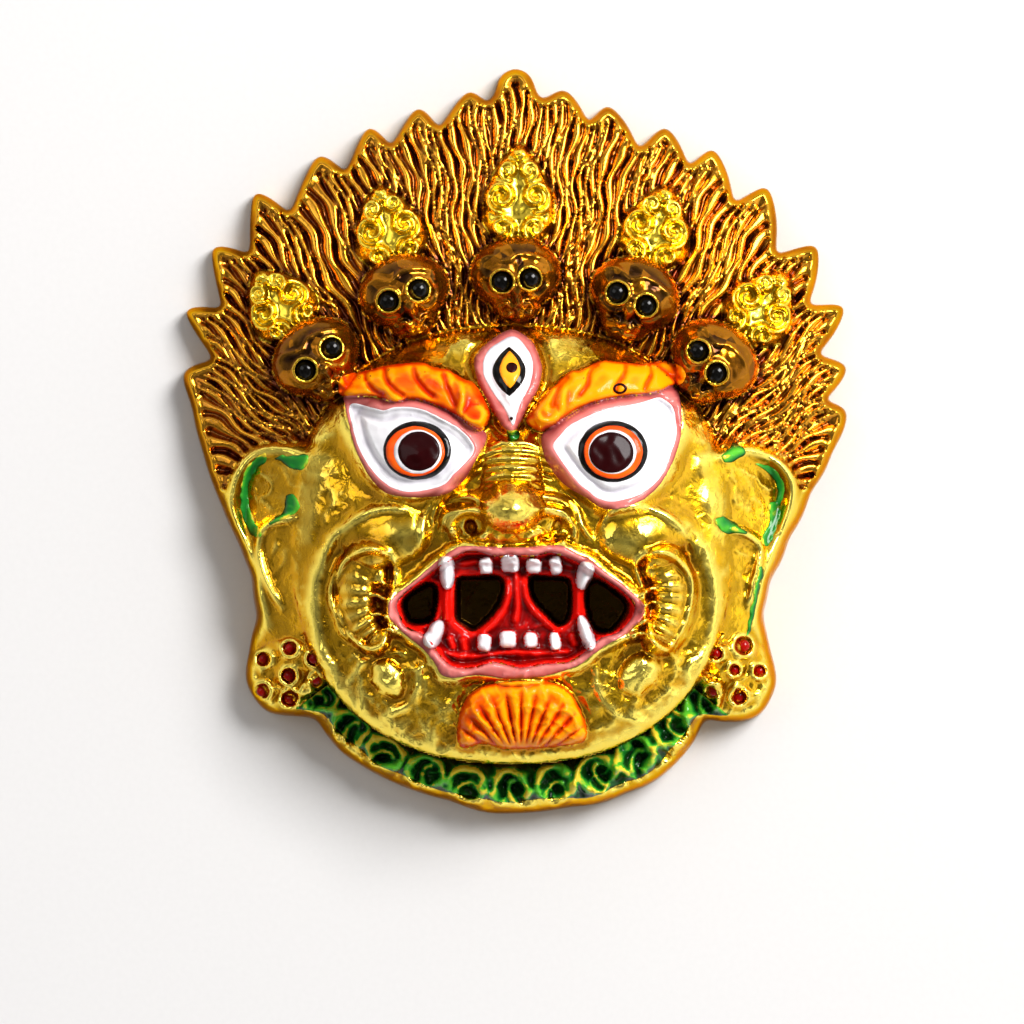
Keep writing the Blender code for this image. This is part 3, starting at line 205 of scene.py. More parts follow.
THIRD_PINK = [(-0.1, 14.7), (2.2, 13.2), (3.3, 10.9), (3.6, 9.0), (3.0, 6.6), (1.6, 4.2), (0.5, 1.9),
              (-0.4, 0.9), (-1.8, 1.9), (-3.6, 5.1), (-5.0, 7.9), (-5.5, 10.3), (-5.0, 11.7),
              (-3.5, 13.1), (-1.7, 14.3)]
THIRD_WHITE = [(-0.1, 13.8), (1.7, 12.0), (2.4, 9.9), (2.0, 7.3), (0.9, 5.1), (0.3, 3.5), (-0.3, 1.8),
               (-1.3, 3.9), (-2.7, 5.9), (-4.0, 8.1), (-4.3, 9.7), (-3.8, 11.6), (-2.3, 12.9)]
IRISES = [(-13.0, -1.5), (12.9, -1.6)]
# Ovals of each big eye: (right, up, half width, half height).
LEFT_OVALS = [(-13.04, -1.49, 4.54, 3.94), (-13.29, -1.61, 3.94, 3.35), (-12.95, -1.66, 3.2, 2.93),
              (-12.8, -1.57, 2.8, 2.63)]
RIGHT_OVALS = [(13.04, -1.61, 4.65, 4.12), (13.09, -1.71, 3.92, 3.55), (12.97, -1.68, 3.22, 2.95),
               (12.84, -1.75, 2.97, 2.72)]
THIRD_DOT = (-0.5, 2.8, 0.24, 0.24)
THIRD_OVALS = [(-0.78, 9.1, 2.23, 3.35), (-0.69, 9.31, 1.37, 2.53), (-0.43, 9.6, 0.77, 0.7)]
EYEBALL = (9.8, 8.6)
EYEBALL_RISE = 3.4
LID_WIDTH = 1.7
LID_RISE = 1.1
THIRD_EYE_RISE = 1.9
THIRD_EYE_BALL = (-0.6, 9.2, 2.6, 3.6)
THIRD_EYE_BALL_RISE = 0.8
LEFT_BROW = [(-23.5, 7.8), (-22.4, 8.7), (-20.0, 9.3), (-17.5, 9.9), (-14.5, 10.3), (-12.2, 10.3),
             (-10.6, 9.7), (-8.7, 9.3), (-7.0, 8.2), (-5.5, 7.7), (-4.4, 6.2), (-3.5, 4.3), (-3.2, 3.1),
             (-4.1, 1.4), (-5.1, 1.3), (-6.7, 2.4), (-8.6, 3.6), (-11.2, 4.8), (-13.7, 5.4), (-15.6, 5.0),
             (-16.7, 5.1), (-19.2, 5.8), (-23.1, 5.8)]
RIGHT_BROW = [(22.6, 9.3), (22.0, 9.9), (19.9, 10.6), (16.8, 10.2), (13.4, 10.5), (11.7, 10.6),
              (9.9, 9.9), (8.6, 9.3), (7.3, 9.1), (5.4, 7.4), (4.4, 6.6), (2.8, 4.7), (1.6, 3.2),
              (1.6, 2.0), (3.4, 1.0), (4.2, 1.4), (5.4, 2.0), (7.5, 3.5), (9.9, 4.7), (13.4, 5.6),
              (16.8, 6.0), (19.1, 6.3), (20.8, 7.1), (22.3, 7.5), (22.8, 8.5)]
BROW_RISE = 3.2
BROW_ROUND = 1.9
BROW_CREASE = 0.75
BROW_CREASE_WIDTH = 0.38
BROW_CURL_RISE = 0.8
BROW_CURL_FOLD_WIDTH = 0.5
BROW_CREASES = [[(-20.0, 9.0), (-19.9, 7.9), (-18.9, 6.6), (-17.2, 5.8)],
                [(-17.4, 9.6), (-17.3, 8.2), (-16.3, 6.8), (-14.6, 5.6)],
                [(-13.6, 9.8), (-13.2, 8.2), (-11.8, 6.4), (-10.6, 5.6)],
                [(-9.6, 9.0), (-9.2, 7.4), (-8.4, 5.4), (-7.8, 4.4)],
                [(18.0, 10.2), (18.2, 8.8), (17.6, 7.4), (17.2, 6.4)],
                [(14.8, 10.1), (14.6, 8.8), (13.6, 7.2), (13.4, 6.0)],
                [(11.4, 10.2), (10.0, 9.0), (9.6, 7.2), (8.4, 5.6)],
                [(7.4, 8.6), (6.0, 7.0), (5.2, 5.4), (4.9, 4.0)]]
BROW_CURLS = [(-5.2, 2.9), (4.3, 3.0)]
BROW_CURL_RADIUS = 1.7
BROW_CURL_FOLDS = [[(-7.2, 7.6), (-7.0, 5.4), (-7.3, 3.6), (-6.2, 2.4), (-4.6, 2.2), (-4.0, 3.6),
                    (-4.9, 5.0)],
                   [(6.4, 7.2), (6.3, 5.0), (6.0, 3.4), (4.8, 2.4), (3.4, 2.6), (2.9, 3.9), (3.9, 5.0)]]
# Pinholes in the brows' enamel, and the burst bubble on the right one: (right, up, radius or radii).
BROW_RING = (14.0, 6.8, 0.95, 0.75)
BROW_RING_HOLE = (14.0, 6.8, 0.6, 0.45)
BROW_SPECKS = [(-20.8, 8.3, 0.22), (-19.3, 8.5, 0.13), (-16.9, 9.3, 0.17), (-12.0, 9.0, 0.12),
               (17.9, 8.4, 0.13), (20.3, 8.6, 0.15), (9.2, 8.2, 0.12), (19.0, 9.8, 0.11)]

# Nose.
NOSE_BRIDGE_HEIGHTS = (-9.0, -4.0, 1.0)
NOSE_BRIDGE_HALF = (4.6, 3.9, 3.2)
NOSE_BRIDGE_RISES = (3.4, 2.2, 0.8)
NOSE_WRINKLES = [(-0.7, 3.6), (-1.7, 4.6), (-2.8, 5.2), (-4.0, 5.4), (-5.1, 5.2), (-6.1, 4.6)]
NOSE_WRINKLE_RISE = 0.4
NOSE_WRINKLE_WIDTH = 0.32
NOSE_BODY = (-0.9, -10.4, 9.8, 4.5)
NOSE_BODY_BASE = 17.2
NOSE_BODY_RISE = 6.0
NOSE_TIP = (-0.4, -9.0, 4.3, 3.5)
# Hollows of the nose: (right, up, half width, half height, lean, depth).
NOSE_HOLLOWS = [(-7.4, -8.7, 2.4, 0.8, 8.0, 1.0), (-6.2, -11.7, 2.7, 2.0, 10.0, 1.6),
                (-5.9, -11.7, 0.95, 1.2, 20.0, 2.6), (5.2, -8.7, 2.0, 0.6, -12.0, 0.7),
                (4.6, -11.9, 3.0, 2.1, -8.0, 1.5), (5.6, -11.5, 0.7, 1.2, -20.0, 0.9),
                (-8.2, -12.6, 0.8, 1.0, 0.0, -0.8), (3.0, -12.4, 1.1, 0.8, 0.0, -0.9),
                (-4.3, -12.9, 1.0, 0.7, 0.0, -0.7), (6.5, -12.9, 0.9, 0.9, 0.0, -0.7)]
NOSE_FOLDS = [[(-11.2, -12.2), (-10.9, -10.0), (-10.0, -8.3), (-8.4, -7.4), (-6.4, -7.4), (-4.6, -8.2),
               (-3.2, -8.6)],
              [(-9.9, -12.6), (-9.6, -10.6), (-8.2, -9.6), (-6.0, -9.3), (-4.2, -9.6), (-3.0, -9.3)],
              [(2.6, -9.5), (4.4, -9.2), (6.4, -9.7), (7.8, -11.4), (7.9, -13.6)],
              [(1.9, -7.3), (4.2, -7.5), (6.6, -7.8), (8.2, -9.3), (9.0, -11.6), (10.8, -14.1)],
              [(-12.6, -14.4), (-12.4, -12.2), (-12.0, -10.4), (-10.9, -8.2), (-9.4, -7.0), (-7.2, -6.4)]]
NOSE_FOLD_RISE = 0.65
NOSE_FOLD_WIDTH = 0.42
NOSE_HOLLOW_SHARE = 0.8
NOSE_CRINKLE = 0.4
NOSE_BRIDGE_FADES = (2.5, 1.5)

# Cheeks.
CHEEK_LOBES = [(-17.2, -12.9, 8.0), (16.9, -12.9, -8.0)]
CHEEK_LOBE = (6.2, 4.3)
CHEEK_LOBE_RISE = 2.4
CHEEK_FOLD = [(10.9, -9.6), (17.0, -8.7), (21.8, -10.7), (25.2, -14.6), (26.9, -20.2), (26.4, -26.9),
              (23.9, -32.3)]
CHEEK_FOLD_RISE = 0.9
CHEEK_FOLD_WIDTH = 1.1
CHEEK_CREASES = [[(-14.0, -9.6), (-17.6, -9.2), (-20.5, -10.1), (-23.1, -12.0), (-24.9, -14.0),
                  (-26.0, -17.5)],
                 [(11.6, -11.5), (12.4, -9.9), (15.0, -8.9), (19.2, -9.6), (22.6, -12.3), (24.2, -15.4)],
                 [(-14.0, -28.6), (-17.4, -28.6), (-20.4, -30.0), (-22.4, -32.6)],
                 [(-12.6, -29.8), (-13.0, -32.8), (-14.6, -35.6), (-18.0, -37.2)],
                 [(12.8, -27.4), (15.6, -26.4), (19.0, -27.3), (22.0, -29.6)],
                 [(10.8, -29.6), (11.0, -33.4), (13.4, -36.6), (17.6, -38.0)]]
CHEEK_CREASE_RISE = 0.55
CHEEK_CREASE_WIDTH = 0.4
TUFT_HOLLOWS = [[(-23.1, -16.4), (-24.5, -19.4), (-24.6, -21.4), (-23.9, -23.4), (-23.0, -25.7),
                 (-21.2, -27.2), (-19.1, -28.1), (-17.4, -27.2), (-16.8, -24.8), (-16.7, -21.5),
                 (-15.9, -18.6), (-16.2, -16.1), (-17.6, -14.7), (-20.4, -14.7)],
                [(16.5, -18.5), (16.1, -16.5), (17.6, -15.1), (20.3, -15.1), (22.7, -16.9), (23.9, -19.2),
                 (23.7, -22.4), (22.7, -25.7), (21.1, -27.8), (19.6, -28.0), (18.2, -26.5), (17.3, -23.5),
                 (17.3, -21.0)]]
TUFT_HOLLOW_DEPTH = 1.0
TUFT_RIM = 0.8
TUFT_PATHS = [[(-19.9, -16.6), (-20.8, -17.9), (-21.3, -20.4), (-21.1, -23.0), (-20.1, -25.2),
               (-18.9, -26.6)],
              [(20.3, -17.0), (21.0, -19.0), (21.0, -21.4), (20.5, -23.9), (19.6, -25.8), (19.1, -26.8)]]
TUFT_HEADS = [(-18.3, -18.1, 1.35), (18.4, -17.4, 1.35)]
TUFT_HALF_WIDTHS = (3.1, 2.2)
TUFT_RISE = 3.0
TUFT_RIBS = 8
TUFT_RIB = 0.2
TUFT_LEGS = 4
TUFT_HEAD_RISE = 2.6
TUFT_LEG_RISE = 2.4
TUFT_LEG_WIDTH = 0.42
JAW_KNOBS = [(-16.9, -31.9, 35.0, 2.1, 2.9), (16.6, -31.3, -40.0, 2.5, 3.4)]
JAW_KNOB_RISE = 2.0
JAW_KNOB_HOLLOW = 1.7
JAW_KNOB_HOLLOW_DEPTH = 0.12
JAW_KNOB_WELT = 0.18
JAW_KNOB_FLUTE = 0.08
JAW_KNOB_FLUTES = 7.0

# Mouth.
LIP_OUTER = [(-17.0, -22.3), (-16.1, -20.9), (-13.3, -18.8), (-10.8, -16.5), (-8.2, -14.6), (-6.6, -14.2),
             (-3.1, -14.3), (0.6, -14.4), (3.4, -14.2), (6.1, -14.1), (8.0, -15.0), (10.1, -16.0),
             (12.4, -17.9), (14.9, -19.7), (17.0, -21.8), (17.2, -23.2), (16.1, -24.8), (14.5, -26.2),
             (12.2, -27.4), (10.3, -28.8), (8.5, -30.1), (5.7, -31.1), (2.2, -31.8), (-1.3, -31.9),
             (-4.7, -31.4), (-8.2, -31.8), (-9.8, -31.4), (-10.8, -29.7), (-12.4, -27.8), (-14.7, -26.0),
             (-16.5, -24.1)]
LIP_INNER = [(-15.7, -22.0), (-14.9, -20.7), (-12.8, -19.0), (-10.5, -17.2), (-8.2, -15.8), (-6.4, -15.0),
             (-4.5, -15.1), (-2.7, -15.6), (-0.3, -15.5), (2.4, -15.6), (4.7, -15.1), (6.8, -15.7),
             (8.2, -16.3), (10.3, -17.6), (12.6, -19.0), (14.5, -20.4), (15.9, -22.0), (15.6, -23.7),
             (13.8, -25.7), (11.5, -26.5), (9.1, -28.5), (7.0, -29.7), (4.0, -29.9), (0.6, -30.4),
             (-2.7, -29.7), (-5.4, -30.4), (-7.8, -30.4), (-9.4, -29.5), (-10.5, -28.1), (-12.2, -26.0),
             (-14.5, -25.1), (-15.4, -23.4)]
LIP_RISE = 1.9
MOUTH_DEPTH = 2.6
PIT_FLOOR_RISE = 9.5
PIT_DRAFT = 0.5
MOUTH_PITS = [[(-15.2, -21.4), (-14.0, -20.2), (-11.9, -18.9), (-10.6, -19.1), (-10.1, -20.2),
               (-10.2, -22.0), (-10.6, -23.7), (-11.5, -24.7), (-13.1, -24.9), (-14.5, -24.5),
               (-15.1, -23.0)],
              [(-7.9, -18.5), (-6.2, -18.1), (-4.5, -18.0), (-2.7, -17.9), (-1.5, -18.4), (-1.2, -19.7),
               (-1.5, -21.6), (-2.4, -23.0), (-3.6, -24.4), (-5.2, -25.6), (-6.1, -25.7), (-7.1, -25.0),
               (-8.1, -24.1), (-8.2, -22.0)],
              [(1.7, -18.2), (3.4, -18.0), (5.4, -18.1), (7.1, -18.3), (7.7, -19.3), (7.8, -22.0),
               (7.5, -24.1), (6.4, -25.0), (5.4, -25.0), (4.1, -23.7), (2.7, -22.3), (1.85, -20.9)],
              [(9.7, -18.8), (11.2, -18.4), (13.1, -19.7), (14.7, -20.9), (15.4, -22.3), (14.8, -23.9),
               (13.3, -25.7), (12.2, -26.1), (10.8, -26.0), (9.8, -24.6), (9.2, -22.3), (9.2, -20.2)]]
GUM_FOLDS = [[(0.0, -17.0), (0.2, -19.6), (0.3, -22.4), (0.0, -24.6)],
             [(1.2, -18.6), (1.5, -20.9), (2.5, -22.7), (4.0, -24.2), (5.6, -25.6)],
             [(-0.9, -18.6), (-1.0, -20.9), (-1.7, -23.0), (-3.2, -24.9), (-5.0, -26.2)],
             [(-9.1, -19.4), (-9.2, -21.8), (-9.1, -24.4)], [(8.4, -19.6), (8.5, -21.8), (8.4, -24.2)],
             [(-11.0, -27.0), (-8.6, -28.7), (-5.0, -28.9), (-1.0, -28.4), (4.0, -28.5), (8.0, -28.2)],
             [(-8.8, -26.2), (-8.2, -28.0)], [(-7.0, -26.4), (-6.6, -28.2)], [(7.4, -25.8), (8.2, -27.6)],
             [(-8.2, -16.6), (-4.0, -16.2), (0.8, -16.3), (5.0, -16.2), (8.4, -17.2)]]
GUM_FOLD_RISE = 1.1
GUM_FOLD_WIDTH = 0.5
GUM_LAP = 0.13
# Teeth and fangs: (right, up, half width, half height, lean).
TEETH = [(-3.87, -16.85, 0.98, 1.2, 2), (-0.67, -16.6, 1.3, 1.2, 0), (2.5, -16.9, 1.12, 1.05, -4),
         (5.45, -16.8, 0.9, 1.3, 10), (-4.1, -27.1, 1.0, 1.25, -4), (-0.95, -26.65, 1.2, 1.22, 0),
         (2.1, -26.75, 0.96, 1.1, 3), (5.35, -26.9, 0.82, 1.25, 10)]
FANGS = [(-9.1, -17.8, 1.1, 2.3, 3), (9.25, -18.2, 1.15, 2.0, -14), (-10.75, -25.95, 1.15, 2.05, -26),
         (9.45, -25.75, 0.95, 2.5, 18)]
TOOTH_RISE = 2.0
TOOTH_SQUARENESS = 3
TOOTH_PLACES = 32
FANG_RISE = 3.2

# Chin beard.
BEARD = [(-7.0, -41.3), (-7.8, -39.5), (-7.3, -36.1), (-6.0, -33.9), (-3.5, -32.6), (1.6, -32.1),
         (5.4, -32.5), (7.8, -34.1), (9.1, -36.8), (9.7, -39.2), (8.8, -40.6), (5.4, -41.1), (1.6, -41.4),
         (-1.5, -41.4), (-4.2, -40.7)]
BEARD_ROOT = (0.8, -44.2)
BEARD_RISE = 3.0
BEARD_LOCKS = 11
BEARD_HALF_ANGLE = 60.0
BEARD_LOCK_RISE = 0.6
BEARD_ROUND = 1.8

# Ears, their ornaments and the curled collar.
EAR_FOLDS = [[(-26.8, -1.6), (-30.6, -1.2), (-34.3, -1.6), (-36.9, -4.2), (-38.0, -8.0), (-37.6, -11.0),
              (-36.3, -14.0), (-35.3, -17.6), (-34.2, -21.2), (-33.3, -24.6)],
             [(27.4, -2.4), (30.9, -1.3), (34.6, -2.6), (36.9, -5.2), (37.0, -8.5), (35.8, -12.1),
              (34.2, -16.0), (33.2, -20.4), (32.2, -24.6)]]
EAR_FOLD_RISE = 1.9
EAR_FOLD_WIDTH = 1.0
EAR_INNER_FOLDS = [[(-29.6, -10.4), (-32.1, -10.9), (-33.9, -12.2), (-34.4, -14.4), (-34.0, -16.9),
                    (-32.9, -19.8), (-31.3, -22.4)],
                   [(28.6, -11.8), (31.0, -12.6), (32.9, -14.4), (32.2, -18.6), (31.2, -22.6)]]
EAR_INNER_RISE = 1.1
EAR_INNER_WIDTH = 0.6
EAR_BOWLS = [(-31.6, -6.6, 4.2, 4.0), (-30.4, -16.6, 2.6, 4.8), (31.2, -7.0, 4.2, 4.2),
             (29.8, -17.2, 2.6, 4.8)]
EAR_BOWL_DEPTH = 0.5
EAR_UNEVEN = (0.25, 1.9, 3.0)
EAR_FOIL = [(0.4, 3.0, 23.0), (0.12, 1.6, 24.0)]
# The metal that fills the corner between ear and head, from a share of the head's size inwards.
EAR_SLOPE_RISE = 13.8
EAR_SLOPE_FROM = 1.2
EAR_SLOPE_LENGTH = 0.3
EAR_SLOPE_FOOT = (-37.0, -28.0)
EAR_SLOPE_TOP = (1.0, -2.5)
EAR_SLOPE_INNER = (0.6, 0.72)
GREEN_TOUCHES = [[(-33.4, -1.9), (-34.6, -2.3), (-36.2, -4.2), (-36.9, -7.4), (-36.3, -11.0),
                  (-34.8, -13.2), (-34.0, -12.4), (-35.2, -10.2), (-35.7, -7.4), (-35.2, -4.8),
                  (-33.6, -3.0)],
                 [(-32.1, -2.4), (-29.6, -2.1), (-27.6, -2.1), (-28.1, -3.9), (-29.6, -4.1), (-31.0, -3.2)],
                 [(-30.6, -7.5), (-29.3, -7.5), (-28.8, -8.8), (-29.6, -10.0), (-31.6, -10.9),
                  (-33.2, -11.5), (-32.6, -10.6), (-31.0, -9.7)],
                 [(27.6, -2.2), (28.8, -1.0), (29.6, -0.4), (30.9, -1.9), (29.4, -2.7), (28.1, -3.1)],
                 [(32.3, -3.2), (34.7, -3.8), (36.0, -6.0), (35.7, -8.2), (35.3, -11.0), (34.0, -14.2),
                  (32.9, -13.4), (34.2, -10.8), (33.9, -8.7), (35.0, -8.0), (35.1, -6.2), (34.0, -4.6)],
                 [(26.6, -10.6), (28.1, -10.3), (29.6, -11.2), (31.2, -12.6), (29.6, -12.6), (27.8, -12.4)],
                 [(33.3, -17.4), (32.5, -21.2), (31.5, -25.6), (31.0, -25.8), (31.9, -21.0), (32.7, -17.2)],
                 [(-0.9, 1.5), (0.6, 1.1), (0.4, 0.2), (-0.4, 0.0), (-1.1, 0.5)]]
EARRINGS = [(-30.6, -32.0), (30.2, -32.2)]
EARRING_RADIUS = 5.4
EARRING_RISE = 2.2
DROPS = [(-33.7, -29.4, 0.78), (-30.1, -27.9, 0.78), (-26.9, -29.3, 0.78), (-30.3, -31.6, 0.82),
         (-26.6, -32.1, 0.74), (-33.9, -33.7, 0.86), (-30.2, -34.7, 0.86), (26.9, -28.6, 0.68),
         (30.6, -27.6, 0.95), (29.4, -30.8, 0.62), (32.8, -31.0, 0.66), (26.6, -33.6, 0.8),
         (30.0, -34.4, 0.86)]
DROP_SEAT = 1.5
DROP_RIM_RISE = 0.75
DROP_RIM_WIDTH = 0.35
DROP_SEAT_DEPTH = 0.6
DROP_SHARE = 0.88
COLLAR_CURLS = 11
COLLAR_FROM, COLLAR_TO = -142.0, -39.0
COLLAR_RADIUS = 32.6
COLLAR_CURL_RADIUS = 3.0
COLLAR_RISE = 2.0
COLLAR_LEAF = [(-0.4, -2.6), (-0.7, -1.4), (-0.3, -0.2), (0.6, 0.6), (1.4, 0.3)]
COLLAR_LEAF_RISE = 1.3
COLLAR_LEAF_WIDTH = 0.42
COLLAR_TILTS = (-24.0, 38.0)
COLLAR_CURL_SHARE = 0.76
COLLAR_CURL_WIDTH = 0.22
COLLAR_HOLLOW_DEPTH = 1.3
COLLAR_BUD = (2.7, -0.6)
COLLAR_BUD_RISE = 0.9
COLLAR_BUD_RADIUS = 0.8
COLLAR_TOP = (-30.0, -34.0)
COLLAR_GROOVE_DEPTH = 1.2
# The green starts just off the head's edge and leaves a line of bare gold at the outline.
COLLAR_INNER_SHARE = 1.002
COLLAR_EDGE = 1.5
COLLAR_HALF_ANGLE = 52.3
COLLAR_TURN = -90.5
COLLAR_PLACES = 90

# How finely the surfaces are meshed, and the ovals where the carving is finest.
FINE_STEP = 0.25
FINE_AREAS = [(0.0, -9.5, 12.0, 6.5), (-20.3, -21.3, 5.0, 7.5), (20.1, -21.5, 5.0, 7.5),
              (0.8, -36.8, 9.5, 5.5), *[(across, up, 7.0, 7.0) for across, up, lean in SKULLS],
              (0.0, -2.8, 6.5, 4.5)]
OUTLINE_STEP = 0.4
PAINT_STEP = 0.22
BACK_STEP = 1.3
RAY_COUNT = 720
HOLLOW_COUNT = 180

# The studio, in metres but for the view, which is in hundredths.
KEY_PLACE = (0.55, 0.45, 0.75)
FILL_PLACE = (-0.6, 0.3, 0.8)
CAMERA_HEIGHT = 2.4
VIEW_WIDTH = 137.63
VIEW_CENTRE = (-0.4, -9.68)

# How far the metal lies back under the paints, and a depth that is clear of the casting's rounded edge.
PAINT_SINK = 0.3
FILM_LIFT = 0.02
BEAD_RINGS = 9
BEAD_SIDES = 28
WELL_INSIDE = 9.0


def smooth_step(low, high, value):
    """0 at low, 1 at high, and a smooth rise between."""
    share = np.clip((value - low) / (high - low), 0.0, 1.0)
    return share * share * (3.0 - 2.0 * share)


def turned(x, y, centre_x, centre_y, lean):
    """Distances across and along a piece of carving that leans."""
    c, s = math.cos(math.radians(lean)), math.sin(math.radians(lean))
    return (x - centre_x) * c + (y - centre_y) * s, (y - centre_y) * c - (x - centre_x) * s


def placed(across, along, centre_x, centre_y, lean):
    """The reverse of turned: places of a leaning piece of carving."""
    c, s = math.cos(math.radians(lean)), math.sin(math.radians(lean))
    return centre_x + across * c - along * s, centre_y + across * s + along * c


def dome(across, along, half_width, half_height, roundness=0.5):
    """1 at the middle of an oval and 0 from its edge on. A roundness of 0.5 is an ellipsoid."""
    return np.clip(1.0 - (across / half_width) ** 2 - (along / half_height) ** 2, 0.0, None) ** roundness


def bell(value, width):
    """1 at 0, falling off smoothly to nearly 0 at twice the width."""
    return np.exp(-((value / width) ** 2))


def pillow(depth, width):
    """0 on a loop, rounding over to 1 at a depth inside it."""
    share = np.clip(depth / width, 0.0, 1.0)
    return np.sqrt(share * (2.0 - share))


def uneven(x, y, size, layer):
    """Smooth noise between about -1 and 1, with lumps of a given size."""
    return np.array([noise.noise((a, b, layer)) for a, b in zip(x / size, y / size)])


def crumpled(x, y, size, layer):
    """Thin winding ridges like those of crumpled foil: 1 on a ridge, 0 between."""
    bent = 0.35 * size * uneven(x, y, 0.8 * size, layer + 0.5)
    return (1.0 - np.minimum(np.abs(2.2 * uneven(x + bent, y - bent, size, layer)), 1.0)) ** 3


def lumps(x, y, layers):
    """Soft lumps of several sizes added up: (rise, size, layer of the noise) each."""
    return sum(rise * uneven(x, y, size, layer) for rise, size, layer in layers)


def foil_ridges(x, y, layers):
    """Ridges of crumpled foil added up: (rise, size, layer of the noise) each."""
    return sum(rise * crumpled(x, y, size, layer) for rise, size, layer in layers)


def smooth_path(path, closed=True, per_span=4):
    """A curve through the points of a path."""
    points = np.array(path, float)
    count = len(points)
    curve = []
    for i in range(count if closed else count - 1):
        near = [points[(i + k) % count if closed else np.clip(i + k, 0, count - 1)] for k in (-1, 0, 1, 2)]
        slope = near[2] - near[0]
        square = 2 * near[0] - 5 * near[1] + 4 * near[2] - near[3]
        cube = 3 * (near[1] - near[2]) + near[3] - near[0]
        shares = np.arange(per_span) / per_span
        curve += [near[1] + 0.5 * t * (slope + t * (square + t * cube)) for t in shares]
    return np.array(curve if closed else [*curve, points[-1]])


def even_path(path, step, closed=True):
    """Places a step apart along a path."""
    points = np.vstack((path, path[:1])) if closed else np.array(path)
    passed = np.concatenate([[0.0], np.cumsum(np.hypot(*np.diff(points, axis=0).T))])
    at = np.linspace(0.0, passed[-1], max(int(passed[-1] / step), 3) + 1)
    places = np.column_stack([np.interp(at, passed, points[:, axis]) for axis in (0, 1)])
    return places[:-1] if closed else places


def path_distance(x, y, path, closed=False):
    """(distance to a path, how far along it the nearest place is, 0 to 1)."""
    points = np.array(path, float)
    ends = np.roll(points, -1, axis=0) if closed else points[1:]
    best = np.full(np.shape(x), np.inf)
    share = np.zeros(np.shape(x))
    for i, (start, end) in enumerate(zip(points, ends)):
        step = end - start
        t = ((x - start[0]) * step[0] + (y - start[1]) * step[1]) / max(step @ step, 1e-12)
        t = np.clip(t, 0.0, 1.0)
        distance = np.hypot(x - start[0] - t * step[0], y - start[1] - t * step[1])
        share = np.where(distance < best, (i + t) / len(ends), share)
        best = np.minimum(distance, best)
    return best, share


def near_box(x, y, points, reach):
    """Which places are within reach of the box round some points."""
    low, high = np.min(points, axis=0) - reach, np.max(points, axis=0) + reach
    return (x > low[0]) & (x < high[0]) & (y > low[1]) & (y < high[1])


def inside_depth(x, y, loop, reach=4.0):
    """Distance to a closed loop, positive inside it. Places further out than reach get -reach."""
    points = np.array(loop, float)
    near = near_box(x, y, points, reach)
    near_x, near_y = x[near], y[near]
    inside = np.zeros(near_x.shape, bool)
    for (ax, ay), (bx, by) in zip(points, np.roll(points, -1, axis=0)):
        if ay != by:
            crossing = (bx - ax) * (near_y - ay) / (by - ay) + ax
            inside ^= ((ay > near_y) != (by > near_y)) & (near_x < crossing)
    distance = path_distance(near_x, near_y, loop, closed=True)[0]
    depth = np.full(np.shape(x), -reach)
    depth[near] = np.where(inside, distance, np.maximum(-distance, -reach))
    return depth


def fold(x, y, path, width):
    """1 along a curve through the points of a path, and 0 away from it."""
    curve = smooth_path(path, closed=False)
    raised = np.zeros(np.shape(x))
    near = near_box(x, y, curve, 3.0 * width)
    distance, share = path_distance(x[near], y[near], curve)
    ends = smooth_step(0.0, 0.12, share) * smooth_step(1.0, 0.88, share)
    raised[near] = bell(distance, width) * (0.35 + 0.65 * ends)
    return raised


def flame_corners(tips):
    """Tips of the flames down the right side, with the valley after each but the last."""
    corners = []
    for tip, following in zip(np.array(tips[:-1]), np.array(tips[1:])):
        step = following - tip
        corners += [tip, tip + step * VALLEY_SHARE + np.array((step[1], -step[0])) * VALLEY_DEPTH]
    return [*corners, np.array(tips[-1])]


def both_sides():
    """The flames' corners down the right side, and down the left side as if it were the right one."""
    return flame_corners(RIGHT_TIPS), flame_corners([(-across, up) for across, up in LEFT_TIPS])


def pushed(corners):
    """The corners of one side, from a tip on, with each tip pushed out and each valley in."""
    moved = []
    for i, corner in enumerate(corners):
        away = corner - HEAD_CENTRE
        moved.append(corner + TIP_PUSH * away / np.hypot(*away) * (1 if i % 2 == 0 else -1))
    return moved


def bowed(corner, after):
    """Places from one corner of the outline up to the next, on a line that bows out a little."""
    step = after - corner
    inwards = np.hypot(*(after - HEAD_CENTRE)) < np.hypot(*(corner - HEAD_CENTRE))
    bulge = (FLAME_BULGE if inwards else EDGE_BULGE) * np.array((-step[1], step[0]))
    shares = np.linspace(0.0, 0.9, 10)
    return [corner + share * step + 4.0 * share * (1.0 - share) * bulge for share in shares]


def mask_outline():
    """The outline, clockwise from the knob, with rounded corners."""
    right, left = both_sides()
    left = [corner * (-1.0, 1.0) for corner in left[::-1]]
    corners = np.array([*KNOB, *pushed(right), *RIGHT_SIDE, *CHIN_SIDE, *LEFT_SIDE, *pushed(left)])
    loop = []
    for corner, after in zip(corners, np.roll(corners, -1, axis=0)):
        loop += bowed(corner, after)
    loop = even_path(np.array(loop), OUTLINE_STEP)
    for _ in range(CORNER_ROUNDS):
        loop = (np.roll(loop, 1, axis=0) + 2.0 * loop + np.roll(loop, -1, axis=0)) / 4.0
    return loop


def head_share(x, y):
    """0 at the head's centre, 1 at its edge."""
    across, along = np.abs(x - HEAD_CENTRE[0]) / HEAD_HALF[0], np.abs(y - HEAD_CENTRE[1]) / HEAD_HALF[1]
    return (across**HEAD_SQUARENESS + along**HEAD_SQUARENESS) ** (1.0 / HEAD_SQUARENESS)


